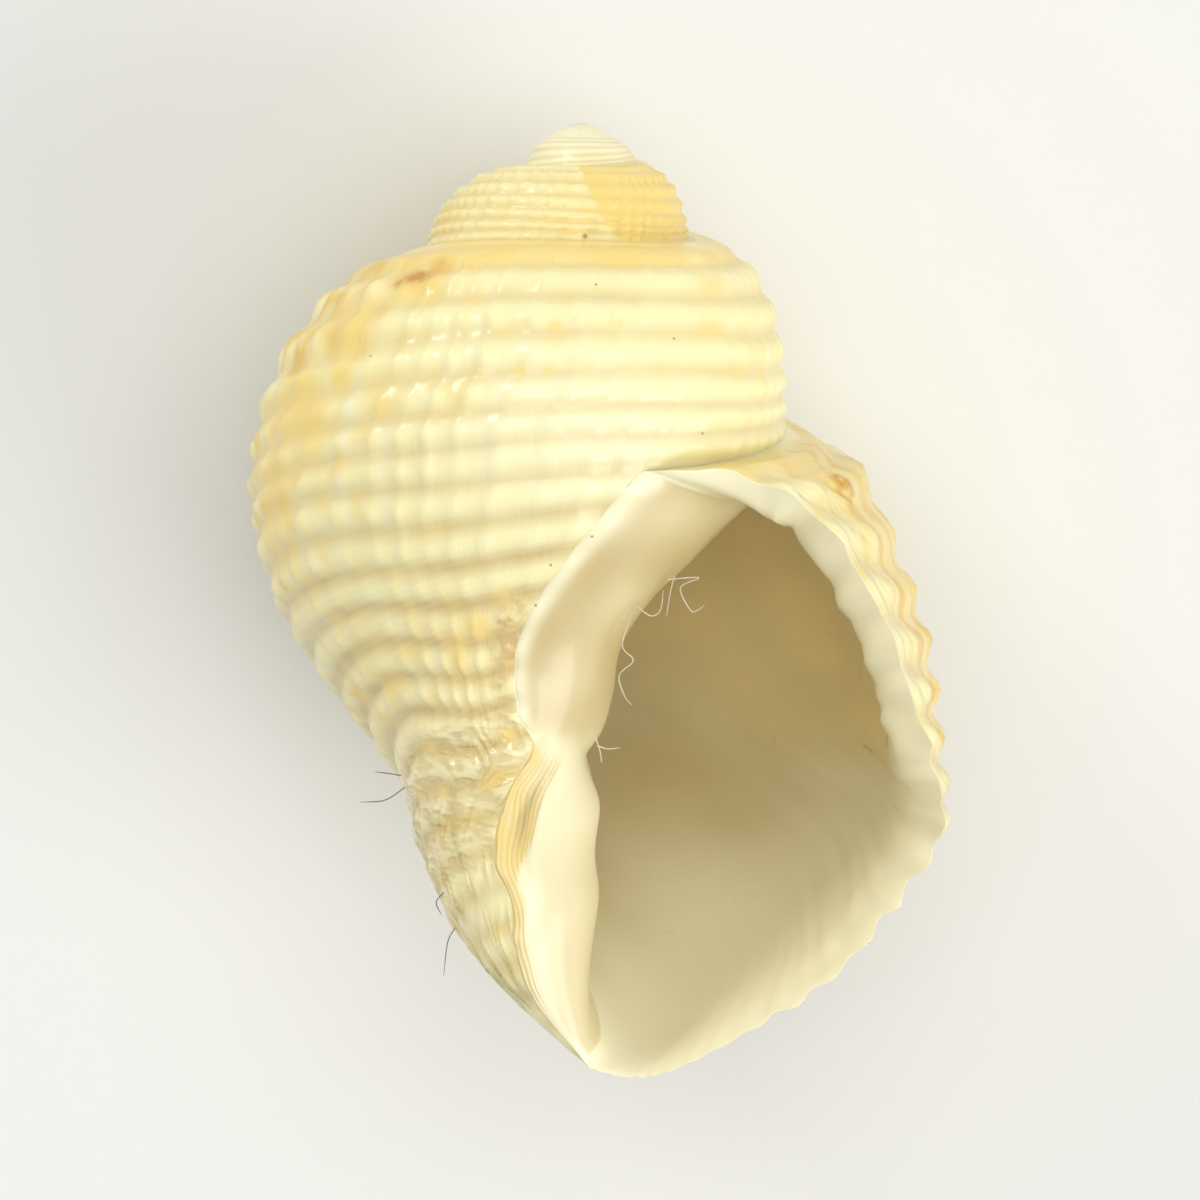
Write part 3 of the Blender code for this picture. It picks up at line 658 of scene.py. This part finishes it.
LEFT_PART_END = -0.4


def in_picture(points):
    """Places of points in metres as millimetres right of, above and in front of the middle of the view."""
    return (points - np.array(VIEW_CENTRE)) @ VIEW_AXES.T * 1000


def from_picture(seen):
    """The points in metres that lie at the given millimetres from the middle of the view."""
    return seen / 1000 @ VIEW_AXES + np.array(VIEW_CENTRE)


def seen_point(seen, right, above):
    """The point nearest to the camera among those about at a place in the picture, or one level with the middle
    of the view where there is none."""
    near = (np.abs(seen[:, 0] - right) < SEARCH_REACH) & (np.abs(seen[:, 1] - above) < SEARCH_REACH)
    return seen[near][np.argmax(seen[near, 2])] if near.any() else np.array([right, above, 0.0])


def patches(seen, places):
    """A mask of soft round patches: each is a bell of the distance from its place on the shell, measured in the
    patch's own half width and half height, and the strongest one counts."""
    total = np.zeros(len(seen))
    for right, above, half_width, half_height, strength in places:
        centre = seen_point(seen, right, above)
        away = (seen - centre) / (half_width, half_height, 1.5 * max(half_width, half_height))
        total = np.maximum(total, strength * bell(np.linalg.norm(away, axis=1)))
    return total


def band_mask(row, behind, waver):
    """Coloured growth bands behind the lip: a bell of the distance from each band's middle, of which the
    strongest counts, fading at the suture and low on the lip."""
    bands = np.zeros(len(row))
    for middle, half_width, strength in LIP_BANDS:
        bands = np.maximum(bands, strength * bell(behind - by_row(middle, row) - waver, 0, half_width))
    return bands * ease(row, 0.2, 0.6) * fade(row, 11, 3)


def outside_masks(facts, seen):
    """Masks of the outside from 0 to 1: bells and eased steps of the row, the turn and the distance behind the
    lip, two random fields and the patches. The groove mask is painted shade between the cords."""
    row, crest, turn, behind, cloud, mottle = map(facts.get, "row crest turn behind cloud mottle".split())
    left = turn < LEFT_PART_END
    groove = 1 - crests(crest)
    waver = 0.004 * np.cos(2 * np.pi * row) + 0.0025 * mottle
    bands = band_mask(row, behind, waver)

    spire_right = ease((-1.7 - 0.012 * row - turn) / 0.02) * ease(turn, -2.35, 0.2) * (row < 7.5)
    under_suture = bell(row, 0.9, 0.7) * ease(turn, -1.3, 0.2)
    shoulder = bell(turn, -0.53, 0.11) * ease(row, 0.3, 1) * fade(row, 6, 6) * (0.55 + 0.45 * mottle)
    low = 0.45 * ease(row, 9, 2.5) * (1 - 0.75 * ease(row, 12, 2)) * fade(row, 20, 3)
    low *= left * (0.8 + 0.5 * mottle)
    # Painted shade in the grooves between the cords, weighted by row.
    low_groove_shade = (1 - 0.6 * ease(row, 15, 4)) * (0.5 + 0.5 * ease(row, 6.5, 4))
    # Ochre ground: a real mottle, stronger in the grooves as painted shade.
    ground_and_groove_shade = (0.32 + 0.2 * mottle + 0.12 * cloud) * ease(row, 0.5, 2) * (0.5 + 0.5 * groove)
    ground_and_groove_shade *= 1 - bell(turn, -0.76, 0.12) * bell(row, 7, 3)
    back = (0.35 + 0.35 * cloud) * bell(turn, -0.2, 0.3) * (row < 16)
    lip_zone = 0.75 * ease(behind, 0.01, 0.04) * fade(behind, 0.09, 0.08) * ease(row, 0.5)
    lip_zone *= fade(row, 10, 3)
    old_whorls = 0.4 * (turn < -1.2) * ease(row, 0.3, 0.5) * ease(turn, -2.2, 0.2)
    patched = patches(seen, OCHRE_PATCHES)
    ochre = (spire_right, under_suture, 0.9 * shoulder, low, back, lip_zone, ground_and_groove_shade, old_whorls, patched)

    suture = bell(row, 0.12, 0.16) * ease(turn, -1.4, 0.2)
    suture += 0.6 * bell(row, 1.45, 0.12) * (turn > -1.2) * (row < 3)
    patched = patches(seen, ORANGE_PATCHES)
    orange = (0.95 * bands, 0.75 * suture * (behind > 0.2), 0.7 * shoulder * (row < 4), patched)

    apex = ease((-2.02 - turn) / 0.25)
    spire_left = ease(turn + 0.012 * row, -1.7, 0.02) * (turn < -1.15) * fade(turn, -1.5, 0.25)
    front = 0.6 * bell(turn, -0.76, 0.13) * bell(row, 6.5, 4.5)
    streaks = [strength * bell(turn - 0.002 * np.sin(row), at, 0.0035) for at, strength in STREAKS]
    streaks = np.maximum.reduce(streaks) * ease(row, 3, 2) * fade(row, 12, 3)

    glaze = bell(behind - 0.4 * waver, 0.0075, 0.0016) * ease(row, 1, 0.8) * fade(row, 6, 3)
    return {
        # painted shade in the grooves between the cords
        "groove": groove**1.5 * ease(row, 0.8, 0.8) * low_groove_shade,
        "lines": 0.3 * fade(behind, 0.09, 0.05) * fade(row, 9, 3),
        "ochre": np.maximum.reduce(ochre),
        "orange": np.maximum.reduce(orange),
        "deposit": patches(seen, DEPOSIT),
        "dull": bell(row, 15.5, 3.2) * (turn < -0.45) * (0.45 + 0.3 * mottle),
        "grey": 0.6 * glaze,
        "brown": patches(seen, SUTURE_STAIN),
        "white": np.maximum.reduce([0.8 * apex, 0.2 * spire_left, front, streaks]),
        "gloss": np.maximum(0.8 * bell(row, 15, 2.5) * left, 0.5),
        "crease": ease(row, 12.8, 1.2) * fade(row, 17.0, 1.5) * left,
    }


def inside_masks(facts, seen):
    """Masks of the hollow from 0 to 1: painted shade in a brownish tone deep inside, over the callus and down
    the shield, a lighter and warmer painted shade high inside the lip, ochre and growth lines in the chink, as
    eased steps and bells of the row and the distance behind the edge."""
    row, behind, cloud, side = map(facts.get, "row behind cloud side".split())
    lip_side, pillar = side == LIP_SIDE, side == PILLAR_SIDE
    chink = patches(seen, CHINK_OCHRE)
    line_end = 0.045 - 0.032 * ease(row, 17, 1.8)
    lines = pillar * ease(row, 14.8, 0.8) * fade(row, 21, 2) * fade(behind, line_end, 0.01)
    # Painted shade deeper inside the hollow behind the lip, less low down, and deep in over the pillar.
    starts = 0.03 + 0.012 * ease(row, 6, 4) + 0.075 * ease(row, 13, 5)
    tan_shade = lip_side * ease(behind, starts, 0.02 + 0.09 * ease(row, 5, 6)) * (1 - 0.75 * ease(row, 18, 4))
    tan_shade = np.maximum(tan_shade, pillar * ease(behind, 0.2, 0.1) * (row < 18))
    # Painted shade over the hollow of the callus, fading lower down.
    shade = 0.85 * pillar * ease(behind, 0.004, 0.02) * fade(row, 13.6, 1.7) * (0.8 + 0.2 * cloud)
    # Painted shade down the shield, stronger low down.
    shield = (0.45 + 0.25 * ease(row, 18, 3)) * pillar * ease(row, 15, 3) * ease(behind, 0.03, 0.03)
    # All the painted shade inside, in one mask.
    deep = np.clip(np.maximum.reduce([tan_shade * (0.9 + 0.12 * cloud), shade, shield]), 0, 1)
    return {
        "groove": 0.75 * chink * pillar,
        "lines": lines,
        "ochre": np.maximum(chink * pillar, 0.6 * lines),
        "orange": 0.15 * chink,
        "brown": patches(seen, LIP_STAINS),
        # painted shade deep inside, over the callus and down the shield
        "deep": deep,
        # darker painted shade over the callus
        "tan_shade": 0.85 * shade,
        # lighter and warmer painted shade high inside the lip
        "warm_shade": deep * lip_side * fade(row, 6.5, 6) * (0.85 + 0.2 * cloud),
        "nacre": side != OUTSIDE,
        "gloss": 0.8 * (side != OUTSIDE) * (1 - 0.7 * pillar * bell(row, 17.5, 2.5)),
    }


def finish_masks(facts, seen):
    """How much of each colour, line and gloss a point carries, the larger of its outside and its inside mask,
    then the number of growth lines passed and two sets of coordinates for drawn-out noise."""
    facts = dict(facts, cloud=waves(seen, 4.0, 21), mottle=waves(seen, 1.3, 22))
    row, turn, side = map(facts.get, "row turn side".split())
    masks = {name: (side == OUTSIDE) * mask for name, mask in outside_masks(facts, seen).items()}
    for name, mask in inside_masks(facts, seen).items():
        masks[name] = np.maximum(masks.get(name, 0), mask)
    masks = {name: np.clip(mask, 0, 1) for name, mask in masks.items()}
    masks["phase"] = facts["behind"] / FINE_LINE_GAP + 0.13 * np.sin(1.3 * row) + 0.3 * facts["mottle"]
    masks["weave"] = np.column_stack([330 * turn, 1.1 * (row + 30 * side), 0 * turn])
    masks["slant"] = np.column_stack([34 * turn + 3.3 * row, 0.45 * row - 24 * turn, 0 * turn])
    return masks


def smooth_piece(name, points, faces):
    """An object with one mesh of these points and faces, shaded smooth."""
    mesh = bpy.data.meshes.new(name)
    mesh.from_pydata(points.tolist(), [], faces)
    mesh.polygons.foreach_set("use_smooth", np.ones(len(mesh.polygons), bool))
    return added(name, mesh)


def shell_object():
    """The shell as one closed mesh, and its grid points as the camera sees them. Its masks are corner
    attributes, because they differ on the two sides of a suture and of the rim."""
    places, facts, weld, four, three = shell_grids()
    laid = lay_down(places)
    seen = in_picture(laid)
    corners = np.r_[four.ravel(), three.ravel()]
    used, compact = np.unique(weld[corners], return_inverse=True)
    faces = compact[: four.size].reshape(-1, 4).tolist() + compact[four.size :].reshape(-1, 3).tolist()
    made = smooth_piece("shell_fine", laid[used], faces)
    for name, values in finish_masks(facts, seen).items():
        kind, part = ("FLOAT", "value") if values.ndim == 1 else ("FLOAT_VECTOR", "vector")
        layer = made.data.attributes.new(name, kind, "CORNER")
        layer.data.foreach_set(part, values[corners].astype(np.float32).ravel())
    made.data.update()
    return made, seen


def new_material(name):
    """A new material, with its node tree and its surface shader."""
    material = bpy.data.materials.new(name)
    material.use_nodes = True
    return material, material.node_tree, material.node_tree.nodes["Principled BSDF"]


def put(tree, kind, sockets, **settings):
    """Adds a node with its settings, and fills its sockets with values or links."""
    made = tree.nodes.new(kind)
    for name, value in settings.items():
        setattr(made, name, value)
    for name, value in sockets.items():
        if isinstance(value, bpy.types.NodeSocket):
            tree.links.new(value, made.inputs[name])
        else:
            made.inputs[name].default_value = value
    return made


def mask_of(tree, name, output="Fac"):
    """The socket of a mask attribute, or of a vector attribute."""
    made = put(tree, "ShaderNodeAttribute", {}, attribute_name=name, attribute_type="GEOMETRY")
    return made.outputs[output]


def noise(tree, vector, scale, detail):
    """A noise texture from 0 to 1."""
    sockets = {"Vector": vector, "Scale": scale, "Detail": detail}
    return put(tree, "ShaderNodeTexNoise", sockets).outputs["Fac"]


def maths(tree, operation, *values):
    """A node of arithmetic on one, two or three values."""
    return put(tree, "ShaderNodeMath", dict(enumerate(values)), operation=operation).outputs[0]


def product(tree, first, second):
    """The product of two values."""
    return maths(tree, "MULTIPLY", first, second)


def tint(tree, below, above, share):
    """Lays a colour over another by a share."""
    return put(tree, "ShaderNodeMix", {0: share, 6: below, 7: above}, data_type="RGBA").outputs[2]


def step(tree, value, low, high):
    """A smooth step from 0 at the low end to 1 at the high end."""
    sockets = {"Value": value, "From Min": low, "From Max": high}
    return put(tree, "ShaderNodeMapRange", sockets, interpolation_type="SMOOTHSTEP").outputs["Result"]


def broken(tree, name, field, amount):
    """A mask with its edge broken up: the mask times one plus some noise about its middle, made steeper."""
    swing = maths(tree, "MULTIPLY_ADD", maths(tree, "SUBTRACT", field, 0.5), 2.2 * amount, 1.0)
    return step(tree, product(tree, swing, mask_of(tree, name)), 0.05, 1.0)


CREAM = (0.9, 0.84, 0.46, 1)
WHITE = (0.88, 0.84, 0.58, 1)
NACRE = (0.92, 0.87, 0.6, 1)
OCHRE = (0.85, 0.65, 0.21, 1)
ORANGE = (0.74, 0.49, 0.11, 1)
# Painted shade in the grooves and the wrinkle troughs, also the colour of the growth lines and of the chink.
GROOVE_SHADE_AND_LINES = (0.62, 0.49, 0.22, 1)
DEPOSIT_COLOUR = (0.62, 0.45, 0.2, 1)
BROWN = (0.56, 0.29, 0.05, 1)
DULL = (0.84, 0.76, 0.52, 1)
# Painted shade deep in the mouth, over the callus and down the shield.
DEEP_SHADE = (0.68, 0.57, 0.3, 1)
# Lighter and warmer painted shade high inside the lip.
WARM_SHADE = (0.96, 0.78, 0.4, 1)
SPECK = (0.4, 0.31, 0.17, 1)
GREY = (0.56, 0.54, 0.4, 1)
# Darker painted shade over the callus.
CALLUS_SHADE = (0.56, 0.45, 0.22, 1)
CLOUD_SCALE = 420.0
GRAIN_SCALE = 2600.0
SPECK_RADIUS = 0.00003
SPECK_EDGE = 0.00008
SATIN_ROUGHNESS = 0.48
GLOSS_SMOOTHING = -0.2
CLOUD_ROUGHENING = 0.25
COAT_WEIGHT = 0.55
COAT_ROUGHNESS = 0.12
STRIAE_HEIGHT = 0.5
CREASE_HEIGHT = 1.6
LINE_HEIGHT = -0.9
BUMP_STRENGTH = 0.8
BUMP_DISTANCE = 0.00004


def specks(tree, place, centres):
    """A mask of small dots: 1 within the dots' radius and 0 beyond their edge."""
    dots = 0.0
    for centre in centres:
        gap = put(tree, "ShaderNodeVectorMath", {0: place, 1: centre}, operation="DISTANCE").outputs["Value"]
        sockets = {"Value": gap, "From Min": SPECK_EDGE, "From Max": SPECK_RADIUS}
        dots = maths(tree, "MAXIMUM", put(tree, "ShaderNodeMapRange", sockets).outputs["Result"], dots)
    return dots


def shell_finish(speck_centres):
    """Shell lime: cream with a layer of colour for each mask, satin outside and glossy where the animal lay,
    with fine lines along and across the growth. Some layers are painted shade: in the grooves and the wrinkle
    troughs, deep in the mouth, over the callus and down the shield."""
    material, tree, surface = new_material("shell_lime_fine")
    place = tree.nodes.new("ShaderNodeTexCoord").outputs["Object"]
    cloud = noise(tree, place, CLOUD_SCALE, 2.0)
    grain = noise(tree, place, GRAIN_SCALE, 1.0)
    striae = noise(tree, mask_of(tree, "weave", "Vector"), 1.0, 1.0)
    creases = step(tree, noise(tree, mask_of(tree, "slant", "Vector"), 1.0, 1.0), 0.38, 0.6)
    crease_share = mask_of(tree, "crease")
    line = maths(tree, "SINE", product(tree, mask_of(tree, "phase"), 2 * math.pi))
    lines = product(tree, mask_of(tree, "lines"), maths(tree, "MULTIPLY_ADD", line, 0.5, 0.5))
    # Painted shade in the grooves between the cords, clouded.
    clouded_groove_shade = product(tree, mask_of(tree, "groove"), maths(tree, "ADD", cloud, 0.45))
    # Painted shade in the troughs between the wrinkles on the base.
    trough_shade = product(tree, maths(tree, "SUBTRACT", 1.0, creases), product(tree, crease_share, 0.6))
    colour = CREAM
    for layer, share in (
        (NACRE, mask_of(tree, "nacre")),
        (WHITE, broken(tree, "white", cloud, 0.5)),
        (DULL, mask_of(tree, "dull")),
        # painted shade in the grooves between the cords
        (GROOVE_SHADE_AND_LINES, clouded_groove_shade),
        # painted shade in the wrinkle troughs
        (GROOVE_SHADE_AND_LINES, trough_shade),
        (OCHRE, broken(tree, "ochre", cloud, 0.7)),
        (ORANGE, broken(tree, "orange", striae, 0.5)),
        # painted shade deep in the mouth, over the callus and down the shield
        (DEEP_SHADE, mask_of(tree, "deep")),
        # lighter and warmer painted shade high inside the lip
        (WARM_SHADE, mask_of(tree, "warm_shade")),
        # darker painted shade over the callus
        (CALLUS_SHADE, mask_of(tree, "tan_shade")),
        (GROOVE_SHADE_AND_LINES, product(tree, lines, 0.55)),
        (GREY, mask_of(tree, "grey")),
        (DEPOSIT_COLOUR, broken(tree, "deposit", grain, 1.2)),
        (BROWN, broken(tree, "brown", grain, 0.9)),
        (SPECK, specks(tree, place, speck_centres)),
    ):
        colour = tint(tree, colour, layer, share)
    tree.links.new(colour, surface.inputs["Base Color"])

    gloss = mask_of(tree, "gloss")
    rough = maths(tree, "MULTIPLY_ADD", gloss, GLOSS_SMOOTHING, SATIN_ROUGHNESS)
    rough = maths(tree, "MULTIPLY_ADD", maths(tree, "SUBTRACT", cloud, 0.5), CLOUD_ROUGHENING, rough)
    tree.links.new(rough, surface.inputs["Roughness"])
    tree.links.new(product(tree, gloss, COAT_WEIGHT), surface.inputs["Coat Weight"])
    surface.inputs["Coat Roughness"].default_value = COAT_ROUGHNESS
    outside_share = maths(tree, "SUBTRACT", 1.0, mask_of(tree, "nacre"))
    height = product(tree, striae, product(tree, outside_share, STRIAE_HEIGHT))
    height = maths(tree, "MULTIPLY_ADD", creases, product(tree, crease_share, CREASE_HEIGHT), height)
    height = maths(tree, "MULTIPLY_ADD", lines, LINE_HEIGHT, height)
    sockets = {"Height": height, "Strength": BUMP_STRENGTH, "Distance": BUMP_DISTANCE}
    tree.links.new(put(tree, "ShaderNodeBump", sockets).outputs["Normal"], surface.inputs["Normal"])
    return material


shell, shell_seen = shell_object()
speck_places = [from_picture(seen_point(shell_seen, right, above)) for right, above in SPECKS]
shell.data.materials.append(shell_finish(speck_places))
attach(shell, "root")
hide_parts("shell")

# Lint: pale threads caught on the rim of the mouth and on the base, and a few dark hairs.
# Each is a thin tube along a smooth curve that starts on the shell and hangs clear of it.
PALE_THREADS = (
    ((1.27, -0.48), (0.88, -1.79), (1.31, -2.39), (0.76, -2.98), (0.96, -3.78), (1.27, -4.18)),
    ((1.45, -0.24), (2.0, -0.62), (2.39, -0.4), (2.51, 0.4)),
    ((2.95, 0.98), (2.79, 0.32), (2.63, -0.68)),
    ((2.7, 0.82), (3.9, 0.88), (3.18, 0.48), (3.58, -0.4), (3.86, -0.4), (4.14, -0.2)),
    ((-0.12, -5.77), (0.3, -5.9), (0.8, -5.86)),
    ((-0.2, -5.4), (0.0, -6.0), (0.06, -6.45)),
)
DARK_HAIRS = (
    ((-7.75, -7.45), (-8.56, -7.96), (-9.55, -8.04)),
    ((-7.9, -6.98), (-8.4, -6.9), (-8.95, -6.84)),
    ((-5.75, -13.0), (-6.05, -13.6), (-6.21, -14.92)),
    ((-6.2, -11.6), (-6.5, -12.0), (-6.3, -12.5)),
)
PALE_FIBRE = (0.82, 0.76, 0.6)
DARK_FIBRE = (0.16, 0.13, 0.1)
FIBRE_SHADE = 0.6
FIBRE_ROUGHNESS = 0.6
UNEVENNESS_SCALE = 3000.0
THREAD_SIDES = 6
STEPS_PER_PLACE = 10
START_DEPTH = 0.02


def fibre_unevenness():
    """A node group that mixes two colours by noise in the object's coordinates."""
    group = bpy.data.node_groups.new("fibre_unevenness", "ShaderNodeTree")
    for name in ("Pale", "Dark"):
        group.interface.new_socket(name, in_out="INPUT", socket_type="NodeSocketColor")
    group.interface.new_socket("Scale", in_out="INPUT", socket_type="NodeSocketFloat")
    group.interface.new_socket("Colour", in_out="OUTPUT", socket_type="NodeSocketColor")
    given = group.nodes.new("NodeGroupInput").outputs
    place = group.nodes.new("ShaderNodeTexCoord").outputs["Object"]
    mixed = tint(group, given["Pale"], given["Dark"], noise(group, place, given["Scale"], 2.0))
    group.links.new(mixed, group.nodes.new("NodeGroupOutput").inputs["Colour"])
    return group


UNEVENNESS = fibre_unevenness()


def fibre(name, colour):
    """Fibre: a matt colour that is darker here and there."""
    material, tree, surface = new_material(name)
    dark = tuple(FIBRE_SHADE * part for part in colour)
    sockets = {"Pale": (*colour, 1), "Dark": (*dark, 1), "Scale": UNEVENNESS_SCALE}
    uneven = put(tree, "ShaderNodeGroup", sockets, node_tree=UNEVENNESS)
    tree.links.new(uneven.outputs["Colour"], surface.inputs["Base Color"])
    surface.inputs["Roughness"].default_value = FIBRE_ROUGHNESS
    return material


def thread(places, radius, sinking):
    """Points, side faces and end faces of a tube along a smooth curve through places in the picture. It starts
    on the shell, sinks away from the camera by the given millimetres, and narrows at its end."""
    last = len(places) - 1
    steps = np.linspace(0, last, STEPS_PER_PLACE * last + 1)
    start = seen_point(shell_seen, *places[0])
    depth = start[2] - sinking * ease(steps / last) - START_DEPTH
    path = np.column_stack([curve(steps, np.arange(last + 1), places), depth])
    along = unit(np.gradient(path, axis=0))
    side = unit(np.cross(along, (0.0, 0.0, 1.0)))
    over = np.cross(side, along)
    angles = (np.arange(THREAD_SIDES) * 2 * np.pi / THREAD_SIDES)[:, None]
    ring = side[:, None] * np.cos(angles) + over[:, None] * np.sin(angles)
    width = radius * (1 - 0.5 * ease(steps / last, 0.7, 0.3))
    points = path[:, None] + ring * width[:, None, None]
    numbers = np.arange(len(points) * THREAD_SIDES).reshape(-1, THREAD_SIDES)
    sides = quads(np.concatenate([numbers, numbers[:, :1]], axis=1))
    return from_picture(points.reshape(-1, 3)), sides, np.stack([numbers[0, ::-1], numbers[-1]])


def threads(name, strands, radius, sinking, colour):
    """One piece made of several threads, with its fibre material."""
    points, faces, count = [], [], 0
    for strand in strands:
        own, sides, ends = thread(strand, radius, sinking)
        faces += (sides + count).tolist() + (ends + count).tolist()
        points.append(own)
        count += len(own)
    made = smooth_piece(name, np.concatenate(points), faces)
    made.data.materials.append(fibre(name + "_fibre", colour))
    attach(made, "root")


threads("lint_threads", PALE_THREADS, 0.028, 1.2, PALE_FIBRE)
threads("lint_hairs", DARK_HAIRS, 0.02, 0.8, DARK_FIBRE)

# Floor and light: a plain pale floor and soft studio lamps, the main one beyond the spire to the upper left,
# a broad one over the shell and one that fills the lip from the lower right, in a pale even surrounding.
FLOOR_REACH = 3.0
FLOOR_COLOUR = (0.76, 0.77, 0.77, 1)
FLOOR_ROUGHNESS = 0.9
STUDIO_COLOUR = (1.0, 0.99, 0.96, 1)
STUDIO_STRENGTH = 0.58

floor_corners = FLOOR_REACH * np.array([(-1, -1, 0), (1, -1, 0), (1, 1, 0), (-1, 1, 0)])
floor = smooth_piece("floor", floor_corners, [(0, 1, 2, 3)])
floor_material, _, floor_surface = new_material("floor_paper")
floor_surface.inputs["Base Color"].default_value = FLOOR_COLOUR
floor_surface.inputs["Roughness"].default_value = FLOOR_ROUGHNESS
floor.data.materials.append(floor_material)


def softbox(name, direction, distance, side, power, colour):
    """A square lamp in the direction given in the camera's axes, aimed at the shell."""
    lamp = bpy.data.lights.new(name, "AREA")
    lamp.shape = "SQUARE"
    lamp.size = side
    lamp.energy = power
    lamp.color = colour
    made = added(name, lamp)
    heading = Vector(direction @ VIEW_AXES).normalized()
    made.location = VIEW_CENTRE + heading * distance
    made.rotation_euler = heading.to_track_quat("Z", "Y").to_euler()


softbox("key", (-0.55, 0.66, 0.52), distance=0.6, side=0.14, power=0.95, colour=(1.0, 0.97, 0.93))
softbox("front", (0.14, 0.1, 1.0), distance=0.9, side=0.7, power=3.1, colour=(1.0, 0.99, 0.95))
softbox("fill", (0.8, -0.5, 0.45), distance=0.9, side=0.6, power=4.0, colour=(1.0, 0.97, 0.92))
world = bpy.data.worlds.new("studio")
world.use_nodes = True
background = world.node_tree.nodes["Background"]
background.inputs["Color"].default_value = STUDIO_COLOUR
background.inputs["Strength"].default_value = STUDIO_STRENGTH
bpy.context.scene.world = world
bpy.context.scene.view_settings.view_transform = "Standard"
